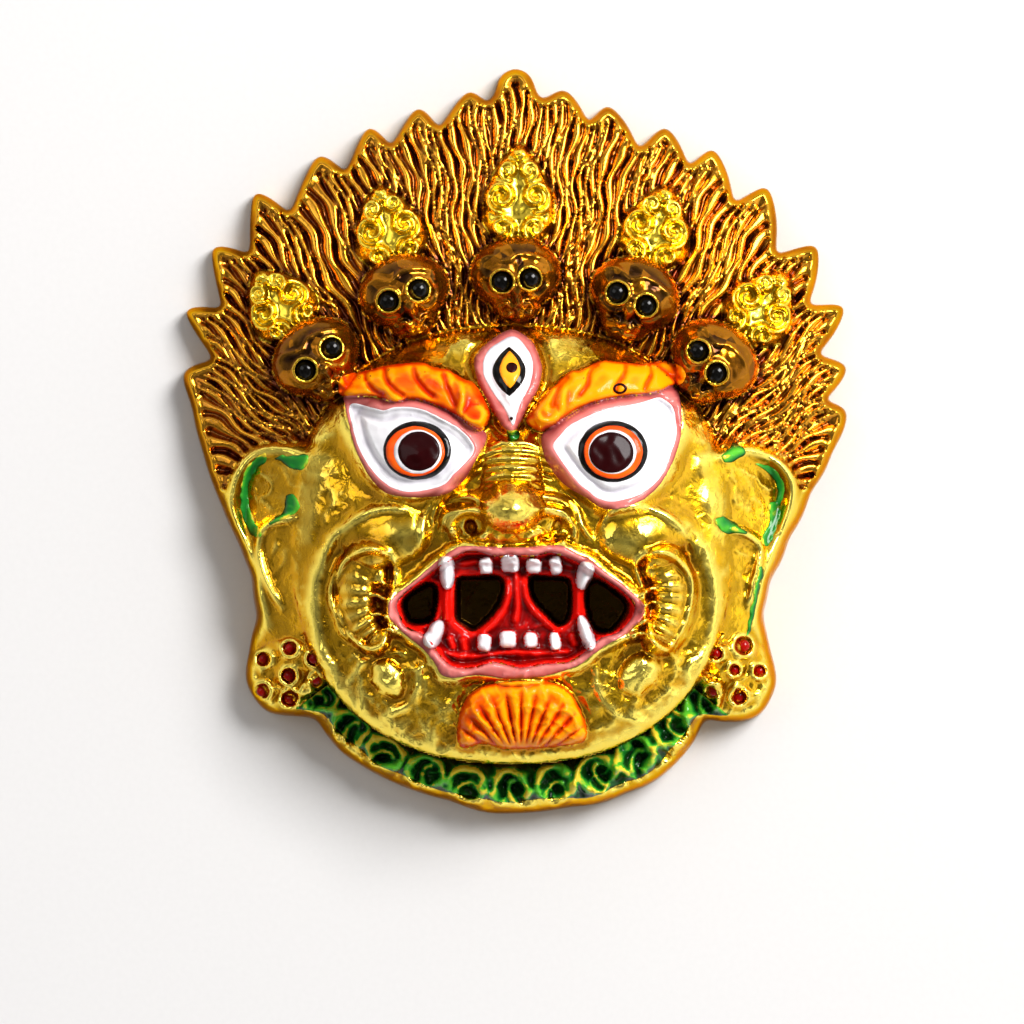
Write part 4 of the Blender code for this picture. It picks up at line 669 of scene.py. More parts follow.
def plate_rise(x, y):
    """The gently domed plate that carries the hair, the ears and the collar."""
    share = ((x - PLATE_MIDDLE[0]) / PLATE_HALF[0]) ** 2 + ((y - PLATE_MIDDLE[1]) / PLATE_HALF[1]) ** 2
    return PLATE_EDGE_RISE + PLATE_CROWN * np.maximum(1.0 - share, PLATE_LOWEST_SHARE)


def head_rise(x, y):
    """The bulging head, with low lumps from the carved model and foil-like ridges off eyes and lobes."""
    edge = HEAD_EDGE_RISE + JAW_EDGE_RISE * smooth_step(JAW_FROM, JAW_TO, y)
    rise = edge + (HEAD_RISE - edge) * np.sqrt(np.clip(1.0 - head_share(x, y) ** HEAD_FULLNESS, 0.0, None))
    foil = smooth_step(-0.3, 0.3, uneven(x, y, HEAD_FOIL_PATCH, 20.0)) + smooth_step(-25.0, -30.0, y)
    for iris_x, iris_y in IRISES:
        from_iris = np.hypot((x - iris_x) / EYE_CALM[0], (y - iris_y) / EYE_CALM[1])
        foil = foil * smooth_step(0.95, 1.25, from_iris)
    for lobe_x, lobe_y, _ in CHEEK_LOBES:
        share = np.hypot((x - lobe_x) / CHEEK_LOBE[0], (y - lobe_y) / CHEEK_LOBE[1])
        foil = foil * smooth_step(0.5, 1.3, share)
    return rise + lumps(x, y, HEAD_LUMPS) + foil * foil_ridges(x, y, HEAD_FOIL)


def ear_slope(x, y):
    """How much of the corner between ear and head is filled: 0 on the ear's rim, 1 at the head."""
    slope = np.clip((EAR_SLOPE_FROM - head_share(x, y)) / EAR_SLOPE_LENGTH, 0.0, 1.0)
    slope = slope * smooth_step(*EAR_SLOPE_FOOT, y) * smooth_step(*EAR_SLOPE_TOP, y)
    return slope * smooth_step(*EAR_SLOPE_INNER, np.abs(x) / HEAD_HALF[0])


def add_ears(z, x, y):
    """Ears with a rolled rim, shallow crinkled bowls and an inner fold, running up into the head."""
    for path in EAR_FOLDS:
        z = z + EAR_FOLD_RISE * fold(x, y, path, EAR_FOLD_WIDTH)
    for across, up, half_width, half_height in EAR_BOWLS:
        bowl = dome(x - across, y - up, half_width, half_height, 1.0)
        foil = lumps(x, y, [EAR_UNEVEN]) + foil_ridges(x, y, EAR_FOIL)
        z = z - EAR_BOWL_DEPTH * bowl + smooth_step(0.0, 0.4, bowl) * foil
    z = z + np.maximum(EAR_SLOPE_RISE + 0.5 * uneven(x, y, 3.0, 25.0) - z, 0.0) * ear_slope(x, y)
    for path in EAR_INNER_FOLDS:
        z = z + EAR_INNER_RISE * fold(x, y, path, EAR_INNER_WIDTH)
    return z


def add_earrings(z, x, y):
    """Domed ornaments: each drop sits in a round seat with a raised rim, and petals fill the gaps."""
    for centre_x, centre_y in EARRINGS:
        ornament = dome(x - centre_x, y - centre_y, EARRING_RADIUS, EARRING_RADIUS, 0.6)
        z = z + EARRING_RISE * ornament + 0.35 * smooth_step(0.0, 0.5, ornament) * uneven(x, y, 0.9, 4.0)
    for drop_x, drop_y, radius in DROPS:
        distance = np.hypot(x - drop_x, y - drop_y)
        seat = DROP_SEAT * radius
        z = z + DROP_RIM_RISE * bell(distance - seat, DROP_RIM_WIDTH)
        z = z - DROP_SEAT_DEPTH * smooth_step(seat, 0.5 * seat, distance)
    return z


def collar_places():
    """The middles of the collar's curls, and how far each is turned."""
    angles = np.radians(np.linspace(COLLAR_FROM, COLLAR_TO, COLLAR_CURLS))
    places = COLLAR_RADIUS * np.column_stack((np.cos(angles), np.sin(angles))) + HEAD_CENTRE
    return zip(places, np.degrees(angles) + 90.0)


def add_collar(z, x, y):
    """Curls like an open C with a small leaf in each hollow, creases round them and a groove at the head."""
    for i, ((centre_x, centre_y), lean) in enumerate(collar_places()):
        across, along = turned(x, y, centre_x, centre_y, lean + COLLAR_TILTS[i % 2])
        ring = np.hypot(across, along) / COLLAR_CURL_RADIUS
        opening = smooth_step(0.1, 0.6, -along / COLLAR_CURL_RADIUS) * bell(across, 1.3)
        ring = ring + 0.22 * uneven(x, y, 1.8, 30.0 + i)
        z = z + COLLAR_RISE * bell(ring - COLLAR_CURL_SHARE, COLLAR_CURL_WIDTH) * (1.0 - 0.95 * opening)
        z = z - COLLAR_HOLLOW_DEPTH * bell(ring, 0.45)
        z = z + COLLAR_LEAF_RISE * fold(across, along, COLLAR_LEAF, COLLAR_LEAF_WIDTH)
        bud_x, bud_y = placed(*COLLAR_BUD, centre_x, centre_y, lean)
        z = z + COLLAR_BUD_RISE * bell(np.hypot(x - bud_x, y - bud_y), COLLAR_BUD_RADIUS)
    ring = head_share(x, y)
    creases = 0.5 * uneven(x, y, 1.3, 13.0) + 0.7 * crumpled(x, y, 2.1, 14.0)
    collar = creases * bell(ring - 1.15, 0.12) - COLLAR_GROOVE_DEPTH * bell(ring - 1.0, 0.03)
    return z + smooth_step(*COLLAR_TOP, y) * collar


def finial_share(across, along, half_length):
    """0 at the middle of a finial's leaf shape, 1 at its edge: full below and narrower above."""
    half_width = FINIAL_HALF_WIDTH * np.clip(1.0 - FINIAL_TAPER * along / half_length, 0.4, 1.2)
    return np.hypot(across / half_width, along / half_length)


def scroll_path(radius, turning):
    """A spiral from the bottom of a scroll inwards."""
    share = np.linspace(0.0, 1.0, SCROLL_STEPS)
    angle = 2 * math.pi * SCROLL_TURNS * share * turning - math.pi / 2
    return np.column_stack((np.cos(angle), np.sin(angle))) * (radius * (1.0 - 0.8 * share))[:, None]


def add_finials(z, x, y):
    """Leaf-shaped plates with openwork-like scrolls, each with a bud in its middle."""
    for (centre_x, centre_y, lean), half_length in zip(FINIALS, FINIAL_HALF_LENGTHS):
        near = np.hypot(x - centre_x, y - centre_y) < 1.5 * half_length
        across, along = turned(x[near], y[near], centre_x, centre_y, lean)
        leaf = smooth_step(1.04, 0.84, finial_share(across, along, half_length))
        rise = FINIAL_RISE * leaf
        for scroll_across, scroll_along, share, turning in SCROLLS:
            place = np.array((scroll_across * FINIAL_HALF_WIDTH, scroll_along * half_length))
            path = scroll_path(share * FINIAL_HALF_WIDTH, turning) + place
            distance = path_distance(across, along, path)[0]
            middle = np.hypot(*(np.column_stack((across, along)) - place).T)
            rise = rise + SCROLL_RISE * bell(distance, SCROLL_WIDTH)
            rise = rise + SCROLL_BUD_RISE * bell(middle, SCROLL_BUD)
        z[near] = z[near] + rise + FINIAL_CRUMPLE * leaf * uneven(across, along, 1.1, 5.0)
    return z


def add_skulls(z, x, y):
    """Domed skulls with ringed sockets, a short raised nose and crumpled jaws."""
    for (centre_x, centre_y, lean), eyes in zip(SKULLS, zip(SKULL_EYES[::2], SKULL_EYES[1::2])):
        near = np.hypot(x - centre_x, y - centre_y) < SKULL_REACH
        part_x, part_y = x[near], y[near]
        across, along = turned(part_x, part_y, centre_x, centre_y, lean)
        cranium = dome(across, along - CRANIUM[2], CRANIUM[0], CRANIUM[1])
        jaw = dome(across, along - SKULL_JAW[2], SKULL_JAW[0], SKULL_JAW[1])
        jaw_crumple = SKULL_JAW_CRUMPLE * smooth_step(-2.4, -3.6, along) * uneven(part_x, part_y, 0.9, 6.0)
        skull = SKULL_BASE_RISE + np.maximum(CRANIUM_RISE * cranium, SKULL_JAW_RISE * jaw + jaw_crumple)
        skull = skull + lumps(part_x, part_y, SKULL_LUMPS)
        for line in SKULL_TEETH:
            skull = skull + SKULL_TOOTH_RISE * fold(across, along, line, SKULL_TOOTH_WIDTH)
        for line in SKULL_CREASES:
            skull = skull + SKULL_CREASE_RISE * fold(across, along, line, SKULL_CREASE_WIDTH)
        for eye_x, eye_y in eyes:
            distance = np.hypot(part_x - eye_x, part_y - eye_y)
            ring = bell(distance - SOCKET_RING_SHARE * SKULL_EYE_RADIUS, SOCKET_RING_WIDTH)
            socket = smooth_step(1.1 * SKULL_EYE_RADIUS, 0.7 * SKULL_EYE_RADIUS, distance)
            skull = skull + SOCKET_RING_RISE * ring - SOCKET_DEPTH * socket
        nose_across, nose_along, half_width, half_height = SKULL_NOSE
        nose = dome(across - nose_across, along - nose_along, half_width, half_height, 0.7)
        skull = skull + SKULL_NOSE_RISE * nose
        covered = (cranium > 0.0) | (jaw > 0.0)
        z[near] = np.where(covered, np.maximum(z[near], skull), z[near])
    return z


def add_brows(z, x, y):
    """Thick brows with creases across them and a curl at each inner end."""
    for brow, (curl_x, curl_y) in zip((LEFT_BROW, RIGHT_BROW), BROW_CURLS):
        z = z + BROW_RISE * pillow(inside_depth(x, y, smooth_path(brow)), BROW_ROUND)
        z = z + BROW_CURL_RISE * dome(x - curl_x, y - curl_y, BROW_CURL_RADIUS, BROW_CURL_RADIUS)
    for crease in BROW_CREASES:
        z = z - BROW_CREASE * fold(x, y, crease, BROW_CREASE_WIDTH)
    for curl in BROW_CURL_FOLDS:
        z = z + BROW_CURL_RISE * fold(x, y, curl, BROW_CURL_FOLD_WIDTH)
    return z


def add_eyes(z, x, y):
    """Bulging eyes in raised lids, with a soft crease round the ball."""
    for white, (iris_x, iris_y) in zip((LEFT_WHITE, RIGHT_WHITE), IRISES):
        depth = inside_depth(x, y, smooth_path(white))
        ball = EYEBALL_RISE * dome(x - iris_x, y - iris_y, *EYEBALL, 0.8)
        z = z + ball * smooth_step(-LID_WIDTH, 0.0, depth) - 0.5 * smooth_step(0.0, 0.5, depth)
        z = z + LID_RISE * bell(depth + 0.5 * LID_WIDTH, 0.65 * LID_WIDTH)
        z = z + 0.5 * smooth_step(1.3, 2.1, depth) - 0.25 * bell(depth - 1.3, 0.35)
    return z


def add_third_eye(z, x, y):
    """The upright third eye: a soft pad with a groove round it and a small ball."""
    depth = inside_depth(x, y, smooth_path(THIRD_PINK))
    centre_x, centre_y, half_width, half_height = THIRD_EYE_BALL
    z = z + THIRD_EYE_RISE * pillow(depth + 0.2, 1.3) - 0.6 * bell(depth + 0.8, 0.6)
    return z + THIRD_EYE_BALL_RISE * dome(x - centre_x, y - centre_y, half_width, half_height, 0.8)


def nose_wrinkle(up, half):
    """A wrinkle across the bridge of the nose, at a height and half as long as it is."""
    return [(-half, up - 0.5), (-0.5 * half, up + 0.25), (0.0, up + 0.3), (0.5 * half, up + 0.15),
            (half, up - 0.6)]


def add_nose(z, x, y):
    """A wrinkled bridge, a broad body with ringed nostrils and a round tip."""
    half_width = np.interp(y, NOSE_BRIDGE_HEIGHTS, NOSE_BRIDGE_HALF)
    bridge = np.clip(1.0 - ((x - NOSE_TIP[0]) / half_width) ** 2, 0.0, None) ** 0.7
    low, high = NOSE_BRIDGE_HEIGHTS[0], NOSE_BRIDGE_HEIGHTS[-1]
    below, above = NOSE_BRIDGE_FADES
    span = smooth_step(low - below, low, y) * smooth_step(high + above, high - above, y)
    z = z + bridge * span * np.interp(y, NOSE_BRIDGE_HEIGHTS, NOSE_BRIDGE_RISES)
    for up, half in NOSE_WRINKLES:
        z = z + NOSE_WRINKLE_RISE * fold(x, y, nose_wrinkle(up, half), NOSE_WRINKLE_WIDTH)
    body_x, body_y, body_half, body_high = NOSE_BODY
    body = dome(x - body_x, y - body_y, body_half, body_high, 0.45)
    z = np.where(body > 0.0, np.maximum(z, NOSE_BODY_BASE + NOSE_BODY_RISE * body), z)
    tip_x, tip_y, tip_half, tip_high = NOSE_TIP
    tip_base = NOSE_BODY_BASE + 0.95 * NOSE_BODY_RISE
    z = z + (NOSE_TIP_RISE - tip_base) * dome(x - tip_x, y - tip_y, tip_half, tip_high, 0.85)
    for centre_x, centre_y, half_wide, half_high, lean, hollow_depth in NOSE_HOLLOWS:
        hollow = dome(*turned(x, y, centre_x, centre_y, lean), half_wide, half_high, 1.0)
        z = z - NOSE_HOLLOW_SHARE * hollow_depth * smooth_step(0.0, 0.7, hollow)
    under_nose = smooth_step(-12.0, -12.8, y) * smooth_step(-15.0, -14.2, y)
    under_nose = under_nose * smooth_step(8.5, 6.5, np.abs(x + 0.6))
    z = z + NOSE_CRINKLE * under_nose * uneven(x, y, 0.9, 10.0)
    for path in NOSE_FOLDS:
        z = z + NOSE_FOLD_RISE * fold(x, y, path, NOSE_FOLD_WIDTH)
    return z


def tuft_rise(x, y, path, head, inward):
    """A ribbed curl like a fern tip, with a round head and short feet on its inner side."""
    curve = smooth_path(path, closed=False)
    distance, passed = path_distance(x, y, curve)
    half_width = TUFT_HALF_WIDTHS[0] + (TUFT_HALF_WIDTHS[1] - TUFT_HALF_WIDTHS[0]) * passed
    tube = np.sqrt(np.clip(1.0 - (distance / half_width) ** 2, 0.0, None))
    rise = tube * (TUFT_RISE + TUFT_RIB * (0.1 + 1.4 * passed) * np.cos(2 * math.pi * TUFT_RIBS * passed))
    ball = dome(x - head[0], y - head[1], head[2], 1.2 * head[2])
    rise = np.maximum(rise, TUFT_HEAD_RISE * ball)
    for share in np.linspace(0.3, 0.85, TUFT_LEGS):
        foot = curve[int(share * (len(curve) - 1))] + np.array((inward * 1.2, 0.0))
        leg = [foot, foot + np.array((inward * 1.5, 0.35)), foot + np.array((inward * 2.7, -0.3))]
        rise = np.maximum(rise, TUFT_LEG_RISE * fold(x, y, leg, TUFT_LEG_WIDTH))
    return rise


def add_cheeks(z, x, y):
    """Cheeks with round lobes, long folds and a curl in each hollow, and fluted knobs at the jaw."""
    for centre_x, centre_y, lean in CHEEK_LOBES:
        z = z + CHEEK_LOBE_RISE * dome(*turned(x, y, centre_x, centre_y, lean), *CHEEK_LOBE, 0.75)
    for side in (1.0, -1.0):
        z = z + CHEEK_FOLD_RISE * fold(x * side, y, CHEEK_FOLD, CHEEK_FOLD_WIDTH)
    for crease in CHEEK_CREASES:
        z = z + CHEEK_CREASE_RISE * fold(x, y, crease, CHEEK_CREASE_WIDTH)
    for hollow, path, head, inward in zip(TUFT_HOLLOWS, TUFT_PATHS, TUFT_HEADS, (1.0, -1.0)):
        near = near_box(x, y, hollow, 3.0)
        part_x, part_y = x[near], y[near]
        depth = inside_depth(part_x, part_y, smooth_path(hollow))
        rise = TUFT_RIM * bell(depth, 0.5) - TUFT_HOLLOW_DEPTH * smooth_step(0.1, 1.1, depth)
        z[near] = z[near] + rise + tuft_rise(part_x, part_y, path, head, inward)
    for centre_x, centre_y, lean, half_width, half_height in JAW_KNOBS:
        across, along = turned(x, y, centre_x, centre_y, lean)
        share = np.hypot(across / half_width, along / half_height)
        z = z + JAW_KNOB_WELT * bell(share - JAW_KNOB_HOLLOW, 0.15) * (1.0 + uneven(x, y, 2.5, 26.0))
        flutes = np.cos(JAW_KNOB_FLUTES * np.arctan2(along, across))
        z = z + JAW_KNOB_FLUTE * flutes * bell(share - 0.95, 0.35)
        z = z - JAW_KNOB_HOLLOW_DEPTH * smooth_step(JAW_KNOB_HOLLOW, 1.0, share)
        z = z + JAW_KNOB_RISE * dome(across, along, half_width, half_height, 0.6)
    return z


def add_mouth(z, x, y):
    """Rolled lips round sunken gums with folds, teeth, fangs and four dark pits."""
    outer, inner = inside_depth(x, y, smooth_path(LIP_OUTER)), inside_depth(x, y, smooth_path(LIP_INNER))
    z = z + LIP_RISE * np.where(inner < 0.0, pillow(outer + 0.9, 1.7) * pillow(0.2 - inner, 0.9), 0.0)
    z = z - MOUTH_DEPTH * smooth_step(0.0, 0.8, inner)
    for path in GUM_FOLDS:
        z = z + GUM_FOLD_RISE * fold(x, y, path, GUM_FOLD_WIDTH) * smooth_step(0.0, 0.6, inner)
    for tooth_x, tooth_y, half_width, half_height, lean in TEETH:
        across, along = turned(x, y, tooth_x, tooth_y, lean)
        share = np.abs(across / half_width) ** TOOTH_SQUARENESS
        share = share + np.abs(along / half_height) ** TOOTH_SQUARENESS
        z = z + TOOTH_RISE * np.clip(1.0 - share, 0.0, None) ** 0.4
    for fang_x, fang_y, half_width, half_height, lean in FANGS:
        z = z + FANG_RISE * dome(*turned(x, y, fang_x, fang_y, lean), half_width, half_height)
    for pit in MOUTH_PITS:
        sunk = np.clip(inside_depth(x, y, smooth_path(pit, per_span=2)) / PIT_DRAFT, 0.0, 1.0)
        z = z + sunk * (PIT_FLOOR_RISE - z)
    return z


def add_beard(z, x, y):
    """Locks like long petals that fan out upwards, under a smooth top."""
    depth = inside_depth(x, y, smooth_path(BEARD))
    radius = np.hypot(x - BEARD_ROOT[0], y - BEARD_ROOT[1])
    angle = np.degrees(np.arctan2(x - BEARD_ROOT[0], y - BEARD_ROOT[1]))
    turn = 0.5 * math.pi * BEARD_LOCKS * (angle / BEARD_HALF_ANGLE + 1.0 / BEARD_LOCKS)
    locks = np.abs(np.cos(turn)) ** 0.6
    shown = smooth_step(3.2, 5.0, radius) * smooth_step(11.4, 8.4, radius)
    return z + pillow(depth, BEARD_ROUND) * (BEARD_RISE + BEARD_LOCK_RISE * (2.0 * locks - 1.4) * shown)


def add_head(z, x, y):
    """The head on the plate: it runs softly into the ears, and at the jaw it stands clear of the collar."""
    share = head_share(x, y)
    head = np.where(share < 1.0, head_rise(x, y), 0.0)
    reach = HEAD_BLEND * smooth_step(*HEAD_BLEND_FOOT, y) * smooth_step(*HEAD_BLEND_TOP, y)
    overlap = np.clip(1.0 - np.abs(head - z) / np.maximum(reach, 1e-3), 0.0, None)
    overlap = overlap**2 * smooth_step(1.0, 0.98, share)
    stands_clear = (y < JAW_FROM) & (head > 0.0) & (reach < 0.01)
    return np.where(stands_clear, head, np.maximum(head, z) + 0.25 * reach * overlap)


def carved_rise(x, y):
    """Rise of the carved front but for the hair."""
    z = plate_rise(x, y)
    for add in (add_ears, add_earrings, add_collar, add_finials, add_head, add_cheeks, add_mouth, add_beard,
                add_eyes, add_brows, add_third_eye, add_nose, add_skulls):
        z = add(z, x, y)
    return z


def flame_lines(above, tip, below, strands):
    """The strands' lines of one flame, between its two valleys: crests and grooves by turns."""
    lines = []
    for i in range(2 * strands + 1):
        share = i / (2 * strands)
        start = above + (below - above) * share
        start = start + (tip - 0.5 * (above + below)) * FLAME_GATHER * (1.0 - abs(2.0 * share - 1.0))
        goal = np.array((0.0, np.interp(start[1], FAN_HEIGHTS, FAN_CENTRES)))
        length = np.hypot(*(goal - start))
        along = np.arange(HAIR_EDGE, STRAND_REACH * length, STRAND_STEP)[:, None]
        direction = (goal - start) / length
        wave = STRAND_WAVE * np.sin(2 * math.pi * along / STRAND_WAVE_LENGTH + 0.08 * start[0])
        wobble = STRAND_WOBBLE * np.sin(2 * math.pi * along / STRAND_WOBBLE_LENGTH + 1.7 * i)
        places = start + along * direction + (wave + wobble) * np.array((-direction[1], direction[0]))
        lines.append((places, i % 2 == 1))
    return lines


def hair_lines():
    """Lines of the strands from the edge inwards: [(places, whether it is a crest)]."""
    lines = flame_lines(np.array(KNOB[0]), np.array(KNOB[3]), np.array(KNOB[-1]), STRAND_COUNT)
    for corners, side in zip(both_sides(), (1.0, -1.0)):
        tips = corners[0::2]
        valleys = [np.array(HAIR_ENDS[0]), *corners[1::2], np.array(HAIR_ENDS[1])]
        for tip, above, below in zip(tips, valleys, valleys[1:]):
            strands = LAST_STRAND_COUNT if tip is tips[-1] else STRAND_COUNT
            for places, crest in flame_lines(above, tip, below, strands):
                lines.append((places * (side, 1.0), crest))
    return lines


def line_tree(lines):
    """A tree of the places along some lines, and (line, how far along) of each place."""
    marks = []
    for number, line in enumerate(lines):
        dense = even_path(smooth_path(line, closed=False), 0.25, closed=False)
        marks += [(place, number, 0.25 * i) for i, place in enumerate(dense)]
    tree = KDTree(len(marks))
    for i, (place, _, _) in enumerate(marks):
        tree.insert((*place, 0.0), i)
    tree.balance()
    return tree, np.array([(number, passed) for _, number, passed in marks])


def covers_hair(x, y, lowest=STRANDS_END):
    """Whether skulls, finials, ears or the head stand there, or the place is too low for hair."""
    covered = (head_share(x, y) < 1.01) | (y < lowest)
    for centre_x, centre_y, lean in SKULLS:
        across, along = turned(x, y, centre_x, centre_y, lean)
        for half_width, half_height, up in (CRANIUM, SKULL_JAW):
            covered |= np.hypot(across / (half_width + 0.15), (along - up) / (half_height + 0.15)) < 1.0
    for (centre_x, centre_y, lean), half_length in zip(FINIALS, FINIAL_HALF_LENGTHS):
        covered |= finial_share(*turned(x, y, centre_x, centre_y, lean), half_length) < 1.03
    for path in EAR_FOLDS:
        curve = smooth_path(path, closed=False)
        covered |= (path_distance(x, y, curve)[0] < EAR_FOLD_WIDTH) | (inside_depth(x, y, curve) > 0.0)
    return covered


def nearest_line(lines, x, y, apart, length, layer):
    """(distance to the nearest line, noise that changes along the lines and from line to line) at places."""
    tree, marks = line_tree(lines)
    found = [tree.find((a, b, 0.0)) for a, b in zip(x, y)]
    numbers, passed = marks[[index for _, index, _ in found]].T
    drawn = [noise.noise((apart * number, along / length, layer)) for number, along in zip(numbers, passed)]
    return np.array([distance for _, _, distance in found]), np.array(drawn)


def hair(x, y, depth):
    """(rise of the strands, how much each place is hair, how deep it lies in a groove)."""
    lines = hair_lines()
    open_hair = ~covers_hair(x, y) & (depth > 0.4 * HAIR_EDGE)
    spot = x[open_hair], y[open_hair]
    grooves = [places for places, crest in lines if not crest]
    to_groove, slot = nearest_line(grooves, *spot, 3.1, SLOT_LENGTH, 8.0)
    to_crest, lift = nearest_line([places for places, crest in lines if crest], *spot, 7.3, LIFT_LENGTH, 0.0)
    share = (to_groove - to_crest) / (to_groove + to_crest + 1e-6)
    slot = smooth_step(0.0, 0.35, slot) * smooth_step(-0.1, -0.85, share)
    edge = smooth_step(0.5 * HAIR_EDGE, 1.35 * HAIR_EDGE, depth[open_hair])
    strand = STRAND_RISE * (smooth_step(-1.0, 0.35, share) - 0.6) * (1.0 + 0.5 * lift) + STRAND_LIFT * lift
    rise, amount, groove = np.zeros_like(x), np.zeros_like(x), np.zeros_like(x)
    bead = EDGE_BEAD * bell(depth[open_hair] - HAIR_EDGE, 0.4)
    rise[open_hair] = (strand - SLOT_DEPTH * slot) * edge + bead
    amount[~covers_hair(x, y, CROWN_END)] = 1.0
    groove[open_hair] = np.clip(0.25 * smooth_step(-0.4, -1.0, share) + 0.75 * slot, 0.0, 1.0) * edge
    return rise, amount, groove


def shown_rise(x, y, depth):
    """The carved front with the rounded edge of the casting, given each place's depth inside the outline."""
    return EDGE_HEIGHT + (carved_rise(x, y) - EDGE_HEIGHT) * pillow(depth, EDGE_ROUND)


def metal_rise(x, y):
    """The carved front where it is clear of the rounded edge: what the paints lie on."""
    return shown_rise(x, y, np.full(np.shape(x), WELL_INSIDE))


def lattice(step, loop):
    """Places in staggered rows over the box round a loop, and which of them stay on a coarser lattice."""
    low, high = loop.min(axis=0), loop.max(axis=0)
    row_step = step * math.sqrt(0.75)
    rows, columns = int((high[1] - low[1]) / row_step) + 1, int((high[0] - low[0]) / step) + 1
    i, j = np.meshgrid(np.arange(rows), np.arange(columns), indexing="ij")
    across, up = low[0] + step * (j + 0.5 * (i % 2)), low[1] + row_step * i
    places = np.column_stack((across.ravel(), up.ravel()))
    skewed = j - (i // 2)
    return places, ((skewed - i) % 3 == 0).ravel()


def triangulated(loop, places, holes=()):
    """(places, triangles, order in which each place was given) inside a loop and outside its holes."""
    rings = [loop, *holes]
    edges, start = [], 0
    for ring in rings:
        edges += [(start + i, start + (i + 1) % len(ring)) for i in range(len(ring))]
        start += len(ring)
    made = delaunay_2d_cdt([Vector(place) for place in np.vstack([*rings, places])], edges, [], 0, 1e-7)
    flat = np.array([tuple(place) for place in made[0]])
    triangles = np.array([tuple(face) for face in made[2]])
    order = np.array([origin[0] if origin else -1 for origin in made[3]])
    middles = flat[triangles].mean(axis=1)
    kept = inside_depth(*middles.T, loop, 0.1) > 0.0
    for hole in holes:
        kept &= inside_depth(*middles.T, hole, 0.1) < 0.0
    return flat, triangles[kept], order


def hollowness(z, triangles, rounds):
    """How far each place lies below the smoothed surface round it."""
    pairs = np.vstack((triangles[:, (0, 1)], triangles[:, (1, 2)], triangles[:, (2, 0)]))
    ends, others = np.concatenate((pairs[:, 0], pairs[:, 1])), np.concatenate((pairs[:, 1], pairs[:, 0]))
    counts = np.maximum(np.bincount(ends, minlength=len(z)), 1)
    smooth = z
    for _ in range(rounds):
        smooth = np.bincount(ends, weights=smooth[others], minlength=len(z)) / counts
    return smooth - z


def make_piece(name, verts, faces, material, shades):
    """A mesh piece that rides on the body, from vertices in hundredths and {attribute: value per vertex}."""
    scale = np.array((HUNDREDTH, HUNDREDTH, RISE))
    data = bpy.data.meshes.new(name)
    places = (np.array(verts) * scale + PLACE).tolist()
    data.from_pydata(places, [], [list(map(int, face)) for face in faces])
    for attribute, values in shades.items():
        shade = data.attributes.new(attribute, "FLOAT", "POINT")
        shade.data.foreach_set("value", np.array(values, np.float32))
    mesh = bmesh.new()
    mesh.from_mesh(data)
    bmesh.ops.delete(mesh, geom=[vert for vert in mesh.verts if not vert.link_faces], context="VERTS")
    bmesh.ops.recalc_face_normals(mesh, faces=mesh.faces)
    mesh.to_mesh(data)
    mesh.free()
    data.shade_smooth()
    data.materials.append(material)
    piece = bpy.data.objects.new(name, data)
    bpy.context.scene.collection.objects.link(piece)
    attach(piece, "root")
    return piece


def side_faces(upper, lower, first, count):
    """Sides between two surfaces along a loop, given the vertex of each order in them."""
    ring = [(first + i, first + (i + 1) % count) for i in range(count)]
    return [(upper[a], upper[b], lower[b], lower[a]) for a, b in ring]


def fine_places(outline):
    """Places of the front: close together where the carving is fine, further apart on plain faces."""
    places, coarse = lattice(FINE_STEP, outline)
    x, y = places.T
    depth = inside_depth(x, y, outline)
    fine = (head_share(x, y) > 0.96) & (y > -46.0)
    for centre_x, centre_y, half_width, half_height in FINE_AREAS:
        fine |= np.hypot((x - centre_x) / half_width, (y - centre_y) / half_height) < 1.0
    return places[(depth > 0.5 * FINE_STEP) & (coarse | fine)]


def hollow_loop(outline):
    """The hollow's outline on the back: a smooth loop that stays a rim's width inside the outline."""
    relative = outline - OUTLINE_MIDDLE
    angles, radii = np.arctan2(relative[:, 1], relative[:, 0]), np.hypot(*relative.T)
    order = np.argsort(angles)
    at = np.arange(RAY_COUNT) * 2 * math.pi / RAY_COUNT - math.pi
    radius = np.interp(at, angles[order], radii[order], period=2 * math.pi)
    radius = np.min([np.roll(radius, shift) for shift in range(-17, 18)], axis=0)
    radius = np.mean([np.roll(radius, shift) for shift in range(-8, 9)], axis=0) - RIM_WIDTH
    chosen = np.arange(HOLLOW_COUNT) * RAY_COUNT // HOLLOW_COUNT
    return np.column_stack((np.cos(at), np.sin(at)))[chosen] * radius[chosen, None] + OUTLINE_MIDDLE


def ceiling_rise(x, y, outline):
    """The hollow's ceiling: the lowest of the front near this place, less the wall."""
    lowest = np.full(np.shape(x), np.inf)
    for reach, count in ((0.0, 1), (1.5, 6), (3.0, 8)):
        for angle in np.arange(count) * 2 * math.pi / count:
            near_x, near_y = x + reach * math.cos(angle), y + reach * math.sin(angle)
            depth = inside_depth(near_x, near_y, outline, reach=0.5)
            lowest = np.minimum(lowest, shown_rise(near_x, near_y, depth))
    return np.maximum(lowest - 0.5 * STRAND_RISE - WALL, LEAST_CEILING)


def paint_sink(x, y, outline):
    """How far the metal lies back under the paints, so that each paint's edge stands clear of it."""
    painted = (LEFT_PINK, RIGHT_PINK, THIRD_PINK, LEFT_BROW, RIGHT_BROW, BEARD, LIP_OUTER, *GREEN_TOUCHES)
    sink = np.zeros_like(x)
    for loop in (*map(smooth_path, painted), collar_loop(outline)):
        sink = np.maximum(sink, smooth_step(0.1, 0.45, inside_depth(x, y, loop, 0.1)))
    return PAINT_SINK * sink


